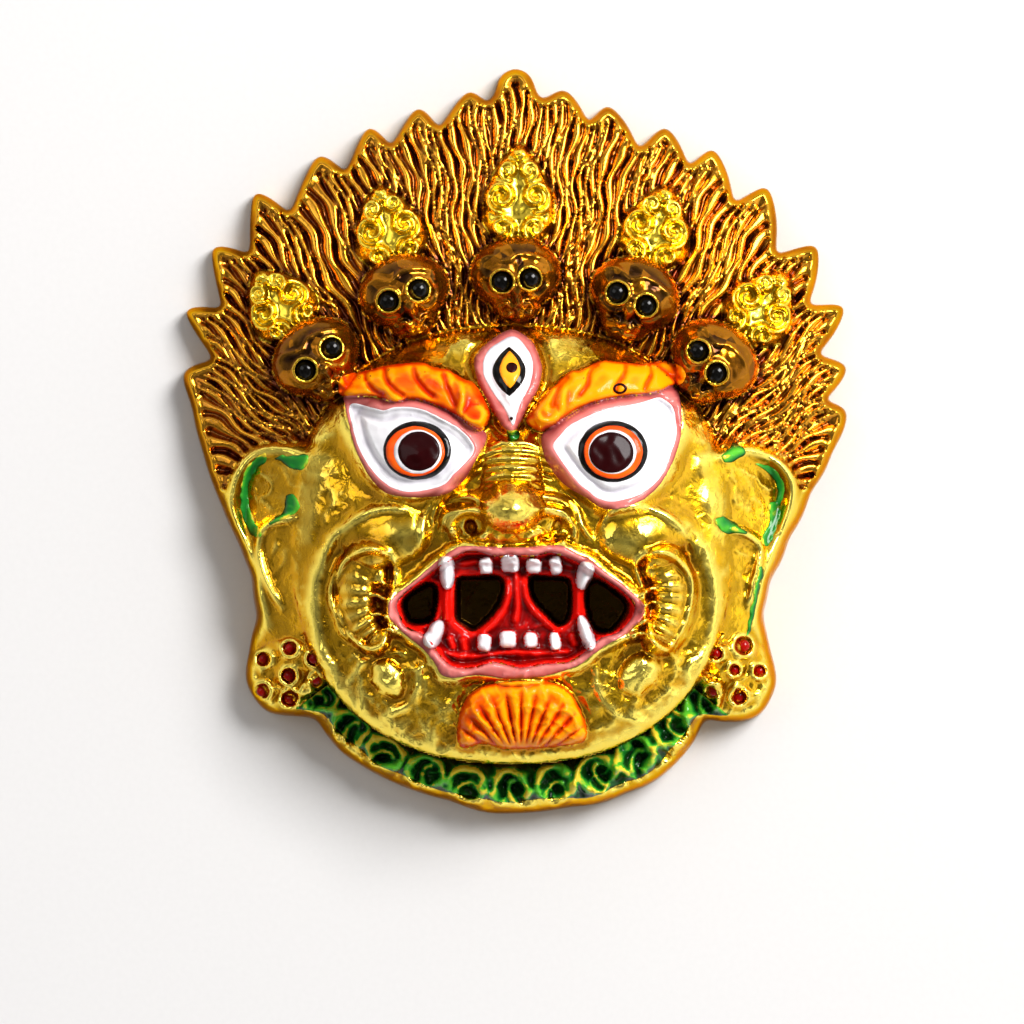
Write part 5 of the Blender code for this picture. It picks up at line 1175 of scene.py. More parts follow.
def cast_mask(outline, material):
    """The one-piece casting: carved front, rounded edge, flat rim and hollow back."""
    flat, front, front_order = triangulated(outline, fine_places(outline))
    x, y = flat.T
    depth = np.maximum(inside_depth(x, y, outline), 0.0)
    strands, hair_amount, groove = hair(x, y, depth)
    shown = shown_rise(x, y, depth) + strands - paint_sink(x, y, outline) * pillow(depth, EDGE_ROUND)
    shown[(front_order >= 0) & (front_order < len(outline))] = EDGE_HEIGHT

    hollow = hollow_loop(outline)
    grid = lattice(BACK_STEP, hollow)[0]
    grid = grid[inside_depth(*grid.T, hollow) > 0.4 * BACK_STEP]
    back, back_faces, back_order = triangulated(outline, np.vstack((hollow, grid)))
    middles = back[back_faces].mean(axis=1)
    in_hollow = inside_depth(*middles.T, hollow) > 0.0
    ceiling = ceiling_rise(*back.T, outline)

    verts = np.vstack((np.column_stack((flat, shown)), np.column_stack((back, 0.0 * ceiling)),
                       np.column_stack((back, ceiling))))
    rim_start, roof_start = len(flat), len(flat) + len(back)
    front_of = {order: i for i, order in enumerate(front_order) if 0 <= order < len(outline)}
    rim_of = {order: rim_start + i for i, order in enumerate(back_order) if order >= 0}
    roof_of = {order: roof_start + i for i, order in enumerate(back_order) if order >= 0}
    back_faces = back_faces[:, ::-1]
    faces = [*front, *(back_faces[~in_hollow] + rim_start), *(back_faces[in_hollow] + roof_start)]
    faces += side_faces(front_of, rim_of, 0, len(outline))
    faces += side_faces(roof_of, rim_of, len(outline), len(hollow))

    hollows = hollowness(shown, front, 14)
    # Painted shade: darker colour in hollows, in the hair's grooves and round the jaw, where tinted lacquer
    # also gathers; painted highlight: lighter colour on crests.
    front_shades = {
        "pool_and_shade": np.clip(np.maximum(hollows / 0.6 - 0.08, groove) + jaw_shade(x, y), 0.0, 1.0),
        "crest": np.clip(-hollows / 0.35, 0.0, 1.0),
        "hair": np.maximum(hair_amount, 0.2 * tuft_amount(x, y)),
        "skull": skull_amount(x, y),
        "leaf": leaf_amount(x, y),
        "edge": smooth_step(1.2, 0.5, depth),
        "pit": pit_amount(x, y),
    }
    back_shades = {"hair": 1.0 * (back[:, 1] > CROWN_END), "edge": np.ones(len(back))}
    plain = np.zeros(len(back))
    shades = {name: [*values, *back_shades.get(name, plain), *back_shades.get(name, plain)]
              for name, values in front_shades.items()}
    mask = make_piece("gilt_casting", verts, faces, material, shades)
    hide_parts("mask")


def jaw_shade(x, y):
    """Painted shade: darker colour round the turn of the jaw, low on the head's edge."""
    share = head_share(x, y)
    turn = smooth_step(*JAW_SHADE_SHARES, share) * (share < 1.0)
    return JAW_SHADE * turn * smooth_step(*JAW_SHADE_HEIGHTS, y)


def tuft_amount(x, y):
    """1 in the cheeks' hollows with their curls."""
    amount = np.zeros_like(x)
    for hollow in TUFT_HOLLOWS:
        amount = np.maximum(amount, smooth_step(-0.2, 0.8, inside_depth(x, y, smooth_path(hollow), 1.0)))
    return amount


def skull_amount(x, y):
    """1 on the skulls."""
    amount = np.zeros_like(x)
    for centre_x, centre_y, lean in SKULLS:
        across, along = turned(x, y, centre_x, centre_y, lean)
        for half_width, half_height, up in (CRANIUM, SKULL_JAW):
            share = np.hypot(across / half_width, (along - up) / half_height)
            amount = np.maximum(amount, smooth_step(1.03, 0.97, share))
    return amount


def leaf_amount(x, y):
    """1 on the finials."""
    amount = np.zeros_like(x)
    for (centre_x, centre_y, lean), half_length in zip(FINIALS, FINIAL_HALF_LENGTHS):
        share = finial_share(*turned(x, y, centre_x, centre_y, lean), half_length)
        amount = np.maximum(amount, smooth_step(1.1, 0.98, share))
    return amount


def pit_amount(x, y):
    """1 in the pits of the mouth."""
    amount = np.zeros_like(x)
    for pit in MOUTH_PITS:
        amount = np.maximum(amount, smooth_step(-0.1, 0.25, inside_depth(x, y, smooth_path(pit), 1.0)))
    return amount


def oval(centre_x, centre_y, half_width, half_height, count=48):
    """Places round an oval."""
    angles = np.arange(count) * 2 * math.pi / count
    return np.column_stack((centre_x + half_width * np.cos(angles), centre_y + half_height * np.sin(angles)))


def almond(centre_x, centre_y, half_width, half_height, count=20):
    """An oval with a point at its top and its bottom."""
    t = np.linspace(-1.0, 1.0, count)
    side = half_width * (1.0 - np.abs(t) ** 1.9)
    right = np.column_stack((centre_x + side, centre_y + half_height * t))
    left = np.column_stack((centre_x - side, centre_y + half_height * t))
    return np.vstack((right, left[-2:0:-1]))


def tooth_loop(centre_x, centre_y, half_width, half_height, lean, squareness, taper):
    """A tooth's outline. A taper below 0 makes it wider at its top."""
    angles = np.arange(TOOTH_PLACES) * 2 * math.pi / TOOTH_PLACES
    across, along = (np.sign(v) * np.abs(v) ** (2.0 / squareness) for v in (np.cos(angles), np.sin(angles)))
    across = half_width * across * (1.0 - taper * along)
    return np.column_stack(placed(across, half_height * along, centre_x, centre_y, lean))


def hand_drawn(loop, amount, size=1.1):
    """A loop with the small wander of a brush."""
    loop = even_path(np.array(loop), PAINT_STEP)
    shift = np.column_stack((uneven(*loop.T, size, 11.0), uneven(*loop.T, size, 12.0)))
    return loop + amount * shift


def paint(name, loops, material, level=0.0, thickness=0.2, holes=(), rounding=0.5, deepened=None,
          wander=0.06):
    """A film of paint that follows the metal, with a rounded edge.

    Its level is its height over the metal, a rounding is the width of its edge, and deepened gives how much
    deeper its colour is at each place, with lighter places below 0: painted shade and highlight on brows and
    beard. The film's hollows also get painted shade and its crests painted highlight.
    """
    loops, holes = ([hand_drawn(ring, wander) for ring in rings] for rings in (loops, holes))
    verts, faces, shades, start = [], [], {"pool_and_shade": [], "crest": []}, 0
    for loop in loops:
        inner = [hole for hole in holes if inside_depth(*hole[:1].T, loop)[0] > 0.0]
        grid = lattice(PAINT_STEP, loop)[0]
        depth = inside_depth(*grid.T, loop, 0.5)
        for hole in inner:
            depth = np.minimum(depth, -inside_depth(*grid.T, hole, 0.5))
        flat, top, order = triangulated(loop, grid[depth > 0.5 * PAINT_STEP], inner)
        x, y = flat.T
        depth = inside_depth(x, y, loop)
        for hole in inner:
            depth = np.minimum(depth, -inside_depth(x, y, hole))
        metal = metal_rise(x, y)
        shown = metal + level + FILM_LIFT + thickness * pillow(depth, rounding)
        verts += [*np.column_stack((flat, shown)), *np.column_stack((flat, metal + level - PAINT_SINK))]
        faces += [*(top + start), *(top[:, ::-1] + start + len(flat))]
        upper = {placed_at: start + i for i, placed_at in enumerate(order) if placed_at >= 0}
        lower = {placed_at: start + len(flat) + i for i, placed_at in enumerate(order) if placed_at >= 0}
        first = 0
        for ring in (loop, *inner):
            faces += side_faces(upper, lower, first, len(ring))
            first += len(ring)
        hollows = hollowness(shown, top, 10)
        deeper = deepened(x, y) if deepened else 0.0
        # Painted shade in the film's hollows and painted highlight on its crests, along with the paint's own
        # gathering and thinning.
        shades["pool_and_shade"] += [*np.clip(hollows / 0.3 + deeper, 0.0, 1.0), *np.zeros(len(flat))]
        shades["crest"] += [*np.clip(-hollows / 0.2 - deeper, 0.0, 1.0), *np.zeros(len(flat))]
        start += 2 * len(flat)
    return make_piece(name, verts, faces, material, shades)


def beads(name, places, material, rise_share, seat):
    """Drops of enamel on the metal: (right, up, radius) each, and half as high as a share of the radius."""
    rings, per_ring = BEAD_RINGS, BEAD_SIDES
    angles = np.arange(per_ring) * 2 * math.pi / per_ring
    verts, faces = [], []
    for centre_x, centre_y, radius in places:
        base = metal_rise(np.array([centre_x]), np.array([centre_y]))[0] + seat
        start = len(verts)
        for k in range(rings):
            slope = math.pi * (k + 0.5) / rings - math.pi / 2
            across, up = radius * math.cos(slope), radius * rise_share * math.sin(slope)
            ring = (centre_x + across * np.cos(angles), centre_y + across * np.sin(angles))
            verts += [(ring_x, ring_y, base + up) for ring_x, ring_y in zip(*ring)]
        verts += [(centre_x, centre_y, base + sign * radius * rise_share) for sign in (-1, 1)]
        for k in range(rings - 1):
            for i in range(per_ring):
                a, b = start + k * per_ring + i, start + k * per_ring + (i + 1) % per_ring
                faces.append((a, b, b + per_ring, a + per_ring))
        last = start + (rings - 1) * per_ring
        bottom, top = last + per_ring, last + per_ring + 1
        for i in range(per_ring):
            following = (i + 1) % per_ring
            faces += [(start + following, start + i, bottom), (last + i, last + following, top)]
    return make_piece(name, verts, faces, material, {})


def collar_loop(outline):
    """The green collar: from the head's edge out to a little inside the outline."""
    angles = np.radians(COLLAR_TURN + np.linspace(-COLLAR_HALF_ANGLE, COLLAR_HALF_ANGLE, COLLAR_PLACES))
    ray = np.column_stack((np.cos(angles), np.sin(angles)))
    head_reach = COLLAR_INNER_SHARE / head_share(ray[:, 0] + HEAD_CENTRE[0], ray[:, 1] + HEAD_CENTRE[1])
    inner = ray * head_reach[:, None] + HEAD_CENTRE
    relative = outline - HEAD_CENTRE
    at, radii = np.arctan2(relative[:, 1], relative[:, 0]), np.hypot(*relative.T)
    order = np.argsort(at)
    reach = np.interp(angles, at[order], radii[order], period=2 * math.pi) - COLLAR_EDGE
    reach = reach + 0.25 * np.sin(9.0 * angles) + 0.2 * np.sin(23.0 * angles)
    outer = ray * reach[:, None] + HEAD_CENTRE
    return np.vstack((inner, outer[::-1]))


def linear(hex_colour):
    """An sRGB hex value as a linear colour."""
    channels = [int(hex_colour[i : i + 2], 16) / 255.0 for i in (0, 2, 4)]
    return (*[c / 12.92 if c <= 0.04045 else ((c + 0.055) / 1.055) ** 2.4 for c in channels], 1.0)


def repeats(millimetres):
    """Scale of a texture whose features are that many millimetres wide."""
    return 1.0 / (millimetres * MILLIMETRE)


def node(tree, kind, inputs, output=0, **settings):
    """Adds a node with its settings and its inputs, values or sockets, and gives one of its outputs."""
    made = tree.nodes.new("ShaderNode" + kind)
    for name, value in settings.items():
        setattr(made, name, value)
    for name, value in inputs.items():
        if isinstance(value, bpy.types.NodeSocket):
            tree.links.new(value, made.inputs[name])
        else:
            made.inputs[name].default_value = value
    return made.outputs[output] if len(made.outputs) else None


def new_material(name):
    """(material, its node tree, its shader, coordinates in metres)."""
    material = bpy.data.materials.new(name)
    material.use_nodes = True
    tree = material.node_tree
    place = node(tree, "TexCoord", {}, "Object")
    return material, tree, tree.nodes["Principled BSDF"], place


def gilding(tree, place, shade, patch):
    """Yellow gilding, patchy and with bright leaves; painted shade deepens it to the left and dulls the
    hollows, where lacquer also gathers, and a painted highlight brightens the crests.
    """
    gold = node(tree, "Mix", {0: patch, 6: linear("C69A16"), 7: linear("F6C01A")}, 2, data_type="RGBA")
    # Painted shade: the gold deepens towards the left, away from the light.
    across = node(tree, "SeparateXYZ", {"Vector": place}, "X")
    shaded_left = node(tree, "MapRange", {"Value": across, "To Max": 0.7,
                                    "From Min": 10.0 * MILLIMETRE, "From Max": -32.0 * MILLIMETRE})
    gold = node(tree, "Mix", {0: shaded_left, 6: gold, 7: linear("C48C08")}, 2, data_type="RGBA")
    # Painted shade in the hollows, where lacquer also gathers, and a painted highlight on crests.
    gold = node(tree, "Mix", {0: shade["pool_and_shade"], 6: gold, 7: linear("B47C0C")}, 2, data_type="RGBA")
    gold = node(tree, "Mix", {0: shade["crest"], 6: gold, 7: linear("FFE664")}, 2, data_type="RGBA")
    leaf = node(tree, "Mix", {0: shade["pool_and_shade"], 6: linear("FFDC44"), 7: linear("B89218")}, 2,
                data_type="RGBA")
    gold = node(tree, "Mix", {0: shade["leaf"], 6: gold, 7: leaf}, 2, data_type="RGBA")
    return node(tree, "Mix", {0: shade["edge"], 6: gold, 7: linear("DCA818")}, 2, data_type="RGBA")


def amber_hair(tree, place, shade, patch):
    """Amber lacquer over the hair: brown in the grooves, where it gathers and shade is painted, browner to
    the left as painted shade, lighter on crests as painted highlight, rubbed to gold along the edge.
    """
    streak = node(tree, "TexNoise", {"Vector": place, "Scale": repeats(3.4), "Detail": 2.0})
    amber = node(tree, "Mix", {0: streak, 6: linear("AC6210"), 7: linear("DA9A20")}, 2, data_type="RGBA")
    # Painted shade: the amber browns towards the left, away from the light.
    across = node(tree, "SeparateXYZ", {"Vector": place}, "X")
    hair_shaded_left = node(tree, "MapRange", {"Value": across, "To Max": 0.65,
                                      "From Min": 30.0 * MILLIMETRE, "From Max": -12.0 * MILLIMETRE})
    amber = node(tree, "Mix", {0: hair_shaded_left, 6: amber, 7: linear("7E3E04")}, 2, data_type="RGBA")
    # Painted shade in the grooves and hollows, where the lacquer also gathers, and a painted highlight on
    # crests.
    amber = node(tree, "Mix", {0: shade["pool_and_shade"], 6: amber, 7: linear("501E03")}, 2, data_type="RGBA")
    amber = node(tree, "Mix", {0: shade["crest"], 6: amber, 7: linear("DC9A24")}, 2, data_type="RGBA")
    rim = node(tree, "Mix", {0: patch, 6: linear("B07A0C"), 7: linear("E4B02C")}, 2, data_type="RGBA")
    return node(tree, "Mix", {0: shade["edge"], 6: amber, 7: rim}, 2, data_type="RGBA")


def brown_skulls(tree, place, shade):
    """Dark brown lacquer over the skulls, in drops that let the metal through, darker in hollows as painted
    shade, and lighter on crests, a little rubbed and with painted highlight.
    """
    cells = node(tree, "TexVoronoi", {"Vector": place, "Scale": repeats(2.2)}, "Color")
    cells = node(tree, "SeparateColor", {"Color": cells}, "Red")
    cells = node(tree, "MapRange", {"Value": cells, "From Min": 0.46, "From Max": 0.54})
    brown = node(tree, "Mix", {0: cells, 6: linear("2A1204"), 7: linear("9A5E0C")}, 2, data_type="RGBA")
    # Painted shade in the hollows, where the lacquer also gathers; painted highlight with a little wear on
    # crests.
    brown = node(tree, "Mix", {0: shade["pool_and_shade"], 6: brown, 7: linear("1A0602")}, 2, data_type="RGBA")
    worn_and_highlit = node(tree, "Math", {0: shade["crest"], 1: 0.3}, operation="MULTIPLY")
    return node(tree, "Mix", {0: worn_and_highlit, 6: brown, 7: linear("C88418")}, 2, data_type="RGBA")


def gloss_of_dip(tree, place, shade):
    """(metal, roughness, clear coat): the dip's wet gloss, thinner on skulls and edge, none in the pits."""
    metal = node(tree, "MapRange", {"Value": shade["skull"], "To Min": 1.0, "To Max": 0.95})
    metal = node(tree, "Math", {0: metal, 1: shade["pit"]}, operation="SUBTRACT", use_clamp=True)
    smear = node(tree, "TexNoise", {"Vector": place, "Scale": repeats(2.0), "Detail": 3.0})
    rough = node(tree, "MapRange", {"Value": smear, "From Min": 0.3, "From Max": 0.7,
                                    "To Min": 0.14, "To Max": 0.3})
    polish = node(tree, "MapRange", {"Value": shade["edge"], "To Min": 1.0, "To Max": 0.5})
    rough = node(tree, "Math", {0: rough, 1: polish}, operation="MULTIPLY")
    glaze = node(tree, "MapRange", {"Value": shade["skull"], "To Min": 0.22, "To Max": 0.14})
    glaze = node(tree, "Math", {0: glaze, 1: shade["pit"]}, operation="SUBTRACT", use_clamp=True)
    bare = node(tree, "Math", {0: shade["edge"], 1: 0.2}, operation="MULTIPLY")
    glaze = node(tree, "Math", {0: glaze, 1: bare}, operation="SUBTRACT", use_clamp=True)
    return metal, rough, glaze


def foil_crinkles(tree, place, shade, mottle):
    """Crinkles of the dip, in patches, and calm over skulls, leaves and hair."""
    creases = node(tree, "TexVoronoi", {"Vector": place, "Scale": repeats(2.1)})
    dents = node(tree, "TexNoise", {"Vector": place, "Scale": repeats(1.2), "Detail": 2.0,
                                    "Distortion": 0.5})
    relief = node(tree, "Mix", {0: 0.6, 2: creases, 3: dents}, 0)
    foil = node(tree, "MapRange", {"Value": mottle, "From Min": 0.42, "From Max": 0.6,
                                   "To Min": 0.3, "To Max": 1.0})
    calm = node(tree, "Math", {0: shade["skull"], 1: shade["leaf"]}, operation="MAXIMUM")
    calm = node(tree, "Math", {0: calm, 1: 0.7}, operation="MULTIPLY")
    calm = node(tree, "Math", {0: calm, 1: shade["hair"]}, operation="MAXIMUM")
    calm = node(tree, "MapRange", {"Value": calm, "To Min": 1.0, "To Max": 0.08})
    foil = node(tree, "Math", {0: foil, 1: calm}, operation="MULTIPLY")
    return node(tree, "Bump", {"Height": relief, "Strength": foil, "Distance": 0.3 * MILLIMETRE})


def gilt_under_lacquer():
    """Brass cast in a mould, gilded and dipped in clear, amber and brown lacquer.

    The gilding gives a yellow metal that leans to olive in the shade, the dip gives a wet gloss that is
    crinkled like foil, and the tinted lacquer turns hair and skulls brown where it gathers. Painted shade
    also darkens the hollows, the left side and the turn of the jaw, and painted highlight lightens crests.
    """
    material, tree, shader, place = new_material("gilt_under_lacquer")
    shade = {name: node(tree, "Attribute", {}, "Fac", attribute_name=name)
             for name in ("pool_and_shade", "crest", "hair", "skull", "leaf", "edge", "pit")}
    mottle = node(tree, "TexNoise", {"Vector": place, "Scale": repeats(5.0), "Detail": 3.0,
                                     "Roughness": 0.6})
    patch = node(tree, "MapRange", {"Value": mottle, "From Min": 0.38, "From Max": 0.64})
    gold, amber = gilding(tree, place, shade, patch), amber_hair(tree, place, shade, patch)
    colour = node(tree, "Mix", {0: shade["hair"], 6: gold, 7: amber}, 2, data_type="RGBA")
    brown = brown_skulls(tree, place, shade)
    colour = node(tree, "Mix", {0: shade["skull"], 6: colour, 7: brown}, 2, data_type="RGBA")
    colour = node(tree, "Mix", {0: shade["pit"], 6: colour, 7: linear("140806")}, 2, data_type="RGBA")
    metal, rough, glaze = gloss_of_dip(tree, place, shade)
    bump = foil_crinkles(tree, place, shade, mottle)
    sockets = {"Base Color": colour, "Metallic": metal, "Roughness": rough, "Coat Weight": glaze,
               "Normal": bump, "Coat Normal": bump}
    for name, output in sockets.items():
        tree.links.new(output, shader.inputs[name])
    shader.inputs["Coat Roughness"].default_value = 0.06
    shader.inputs["Specular Tint"].default_value = linear("E8B040")
    return material


def cold_enamel(name, plain, pooled_and_shaded, worn_and_highlit, grain=0.4, roughness=0.25, coat=0.22, dips=0.12, shine=0.2,
                rubbed=None):
    """Cold enamel laid on by brush: deeper where it gathers and where shade is painted in hollows, lighter
    where it is thin and where highlights are painted on crests, with a soft gloss.

    The grain is how much the thin streaks show, dips is the depth of its ripple and pinholes in
    millimetres, and rubbed is the gilding where the crests are rubbed bare. The streaks and pinholes
    are drawn coarser than a fine brush leaves them, 3 mm and 2 mm apart, so that they show.
    """
    material, tree, shader, place = new_material(name)
    pool_and_shade = node(tree, "Attribute", {}, "Fac", attribute_name="pool_and_shade")
    crest = node(tree, "Attribute", {}, "Fac", attribute_name="crest")
    streak = node(tree, "TexNoise", {"Vector": place, "Scale": repeats(3.0), "Detail": 3.0,
                                     "Distortion": 0.4})
    # Painted shade in the film's hollows and painted highlight on its crests.
    colour = node(tree, "Mix", {0: pool_and_shade, 6: linear(plain), 7: linear(pooled_and_shaded)}, 2, data_type="RGBA")
    colour = node(tree, "Mix", {0: crest, 6: colour, 7: linear(worn_and_highlit)}, 2, data_type="RGBA")
    thin = node(tree, "MapRange", {"Value": streak, "From Min": 0.4, "From Max": 0.75, "To Max": grain})
    colour = node(tree, "Mix", {0: thin, 6: colour, 7: linear(worn_and_highlit)}, 2, data_type="RGBA")
    if rubbed:
        sharp = node(tree, "Math", {0: crest, 1: streak}, operation="MULTIPLY")
        sharp = node(tree, "MapRange", {"Value": sharp, "From Min": 0.42, "From Max": 0.54})
        colour = node(tree, "Mix", {0: sharp, 6: colour, 7: linear(rubbed)}, 2, data_type="RGBA")
    tree.links.new(colour, shader.inputs["Base Color"])
    smear = node(tree, "MapRange", {"Value": streak, "To Min": 0.7 * roughness, "To Max": 1.4 * roughness})
    tree.links.new(smear, shader.inputs["Roughness"])
    shader.inputs["Specular IOR Level"].default_value = shine
    shader.inputs["Coat Weight"].default_value = coat
    shader.inputs["Coat Roughness"].default_value = 0.08
    ripple = node(tree, "TexNoise", {"Vector": place, "Scale": repeats(1.4), "Detail": 4.0,
                                     "Roughness": 0.55})
    specks = node(tree, "TexVoronoi", {"Vector": place, "Scale": repeats(1.9)}, "Distance")
    specks = node(tree, "MapRange", {"Value": specks, "From Min": 0.07, "From Max": 0.13,
                                     "To Min": 1.0, "To Max": 0.0})
    height = node(tree, "Math", {0: specks, 1: 0.6, 2: ripple}, operation="MULTIPLY_ADD")
    bump = node(tree, "Bump", {"Height": height, "Strength": 0.5, "Distance": dips * MILLIMETRE})
    tree.links.new(bump, shader.inputs["Normal"])
    return material


def rubbed_gilding():
    """Gilding rubbed bright by a fingertip."""
    material, tree, shader, place = new_material("rubbed_gilding")
    smear = node(tree, "TexNoise", {"Vector": place, "Scale": repeats(1.5), "Detail": 2.0})
    colour = node(tree, "Mix", {0: smear, 6: linear("C89018"), 7: linear("F4D048")}, 2, data_type="RGBA")
    tree.links.new(colour, shader.inputs["Base Color"])
    shader.inputs["Metallic"].default_value = 1.0
    shader.inputs["Roughness"].default_value = 0.2
    bump = node(tree, "Bump", {"Height": smear, "Strength": 0.4, "Distance": 0.15 * MILLIMETRE})
    tree.links.new(bump, shader.inputs["Normal"])
    return material


def white_card():
    """Matt white card under the mask, with a faint tooth."""
    material, tree, shader, place = new_material("white_card")
    tooth = node(tree, "TexNoise", {"Vector": place, "Scale": repeats(0.8), "Detail": 2.0})
    colour = node(tree, "Mix", {0: tooth, 6: linear("CECCCB"), 7: linear("D2D0CF")}, 2, data_type="RGBA")
    tree.links.new(colour, shader.inputs["Base Color"])
    shader.inputs["Roughness"].default_value = 0.9
    shader.inputs["Specular IOR Level"].default_value = 0.1
    return material


def brow_shade_and_highlight(x, y):
    """Redder orange at the brows' inner ends; painted shade reddens the left, and a painted highlight
    yellows the middle of the right brow.
    """
    inner_ends = 0.75 * bell(x + 4.4, 2.6) + 0.5 * bell(x - 3.2, 1.8)
    return inner_ends + 0.5 * smooth_step(-3.0, -10.0, x) - 0.5 * bell(x - 13.0, 6.5)


def beard_shade_and_highlight(x, y):
    """Painted shade reddens the orange on the left of the beard, and a painted highlight yellows the middle
    of its foot.
    """
    return 0.9 * smooth_step(-1.5, -6.5, x) - 0.5 * bell(x - 2.0, 4.5) * smooth_step(-40.5, -36.0, y)


def mixed_enamels():
    """The pots of enamel: {name: material}."""
    return {
        "pink": cold_enamel("dusty_pink_enamel", "B2524E", "8E3A3C", "CC726C"),
        "white": cold_enamel("white_enamel", "DAD7D9", "BEB9C1", "EAE8EA", roughness=0.2),
        "black": cold_enamel("black_enamel", "050403", "030202", "0A0807", roughness=0.14, coat=0.2,
                             dips=0.03, shine=0.1),
        "orange": cold_enamel("orange_enamel", "F25800", "C42200", "FF9604", grain=0.25, roughness=0.2,
                              coat=0.1, shine=0.06),
        "vermilion": cold_enamel("vermilion_enamel", "EC4808", "C83206", "FF7814", coat=0.12, shine=0.08),
        "amber": cold_enamel("amber_enamel", "FF9C08", "E87A04", "FFB020"),
        "maroon": cold_enamel("maroon_enamel", "200203", "120102", "2C0305", roughness=0.22, coat=0.05,
                              dips=0.02, shine=0.08),
        "red": cold_enamel("red_lacquer", "980304", "5A0102", "DC140A", grain=0.3, roughness=0.14, coat=0.2,
                           shine=0.12),
        "green": cold_enamel("green_lacquer", "107424", "032208", "52AE2A", grain=0.12, roughness=0.14,
                             coat=0.18, shine=0.14, rubbed="D8C030"),
        "ruby": cold_enamel("ruby_drops", "8A0302", "4A0101", "C01C06", roughness=0.12, coat=0.12,
                            shine=0.15),
    }


def smoothed(*loops):
    """Curves through the points of several loops."""
    return [smooth_path(loop) for loop in loops]


def paint_eyes(pot):
    """The eyes, the lowest coat first. Each level is a coat higher than the last."""
    pink, white, black = pot["pink"], pot["white"], pot["black"]
    paint("pink_eye_rims", smoothed(LEFT_PINK, RIGHT_PINK, THIRD_PINK), pink, 0.0, 0.17)
    paint("white_eyes", smoothed(LEFT_WHITE, RIGHT_WHITE, THIRD_WHITE), white, 0.19, 0.14)
    black_ovals, orange_ovals, white_ovals, pupils = zip(LEFT_OVALS, RIGHT_OVALS)
    third_black, third_amber, third_pupil = THIRD_OVALS
    paint("black_rings", [*(oval(*ring) for ring in black_ovals), almond(*third_black)], black, 0.34, 0.1)
    paint("orange_rings", [oval(*ring) for ring in orange_ovals], pot["vermilion"], 0.45, 0.08)
    paint("white_rings", [oval(*ring) for ring in white_ovals], white, 0.54, 0.05)
    paint("maroon_pupils", [oval(*pupil) for pupil in pupils], pot["maroon"], 0.6, 0.1)
    paint("amber_iris", [almond(*third_amber)], pot["amber"], 0.45, 0.08)
    paint("maroon_dots", [oval(*third_pupil), oval(*THIRD_DOT, 16)], pot["maroon"], 0.54, 0.08)


def paint_hair_of_face(pot):
    """Brows and beard, with the brows' pinholes and burst bubble."""
    paint("orange_brows", smoothed(LEFT_BROW, RIGHT_BROW), pot["orange"], 0.1, deepened=brow_shade_and_highlight)
    paint("orange_beard", smoothed(BEARD), pot["orange"], 0.05, deepened=beard_shade_and_highlight)
    paint("brown_ring", [oval(*BROW_RING, 28)], pot["maroon"], 0.34, 0.06, holes=[oval(*BROW_RING_HOLE, 20)])
    paint("brown_specks", [oval(*speck, speck[2], 12) for speck in BROW_SPECKS], pot["maroon"], 0.32, 0.03)


def paint_mouth(pot):
    """Lips, gums that lap a little over the pits' edges, teeth and fangs."""
    inner = smooth_path(LIP_INNER)
    paint("pink_lips", smoothed(LIP_OUTER), pot["pink"], 0.05, holes=[inner])
    pits = [smooth_path(np.array(pit) + GUM_LAP * (np.mean(pit, axis=0) - pit)) for pit in MOUTH_PITS]
    paint("red_gums", [inner], pot["red"], 0.0, 0.25, holes=pits)
    upper_fangs, lower_fangs = FANGS[:2], FANGS[2:]
    teeth = [tooth_loop(*tooth, 3.4, 0.06) for tooth in TEETH]
    teeth += [tooth_loop(*fang, 2.4, -0.16) for fang in upper_fangs]
    teeth += [tooth_loop(*fang, 2.2, 0.2) for fang in lower_fangs]
    paint("white_teeth", teeth, pot["white"], 0.32, 0.25, rounding=0.4)


def paint_ornaments(outline, pot):
    """The collar, the touches on the ears, the skulls' ringed eyes and the ruby drops."""
    paint("green_collar", [collar_loop(outline)], pot["green"], 0.0, 0.18)
    touches = [smooth_path(touch, per_span=3) for touch in GREEN_TOUCHES]
    paint("green_touches", touches, pot["green"], 0.0, 0.16, wander=0.3)
    ring, ball = SKULL_RING_SHARE * SKULL_EYE_RADIUS, SKULL_BALL_SHARE * SKULL_EYE_RADIUS
    rings = [oval(*eye, ring, ring, 32) for eye in SKULL_EYES]
    balls = [oval(*eye, ball, ball, 32) for eye in SKULL_EYES]
    paint("gold_skull_rings", rings, rubbed_gilding(), 0.0, 0.3, holes=balls, rounding=0.2)
    beads("black_skull_eyes", [(*eye, SKULL_EYE_RADIUS) for eye in SKULL_EYES], pot["black"], 0.8, 0.35)
    drops = [(across, up, DROP_SHARE * radius) for across, up, radius in DROPS]
    beads("ruby_drops", drops, pot["ruby"], 0.7, 0.0)


def floor_sheet():
    """A plain sheet of card, much wider than the view."""
    mesh = bmesh.new()
    bmesh.ops.create_grid(mesh, x_segments=8, y_segments=8, size=1.5)
    data = bpy.data.meshes.new("floor")
    mesh.to_mesh(data)
    mesh.free()
    data.materials.append(white_card())
    floor = bpy.data.objects.new("floor", data)
    bpy.context.scene.collection.objects.link(floor)


def soft_light(name, place, size, power):
    """A square softbox that faces the mask."""
    light = bpy.data.lights.new(name, "AREA")
    light.shape, light.size, light.energy = "SQUARE", size, power
    lamp = bpy.data.objects.new(name, light)
    lamp.location = place
    lamp.rotation_euler = Vector(place).to_track_quat("Z", "Y").to_euler()
    bpy.context.scene.collection.objects.link(lamp)


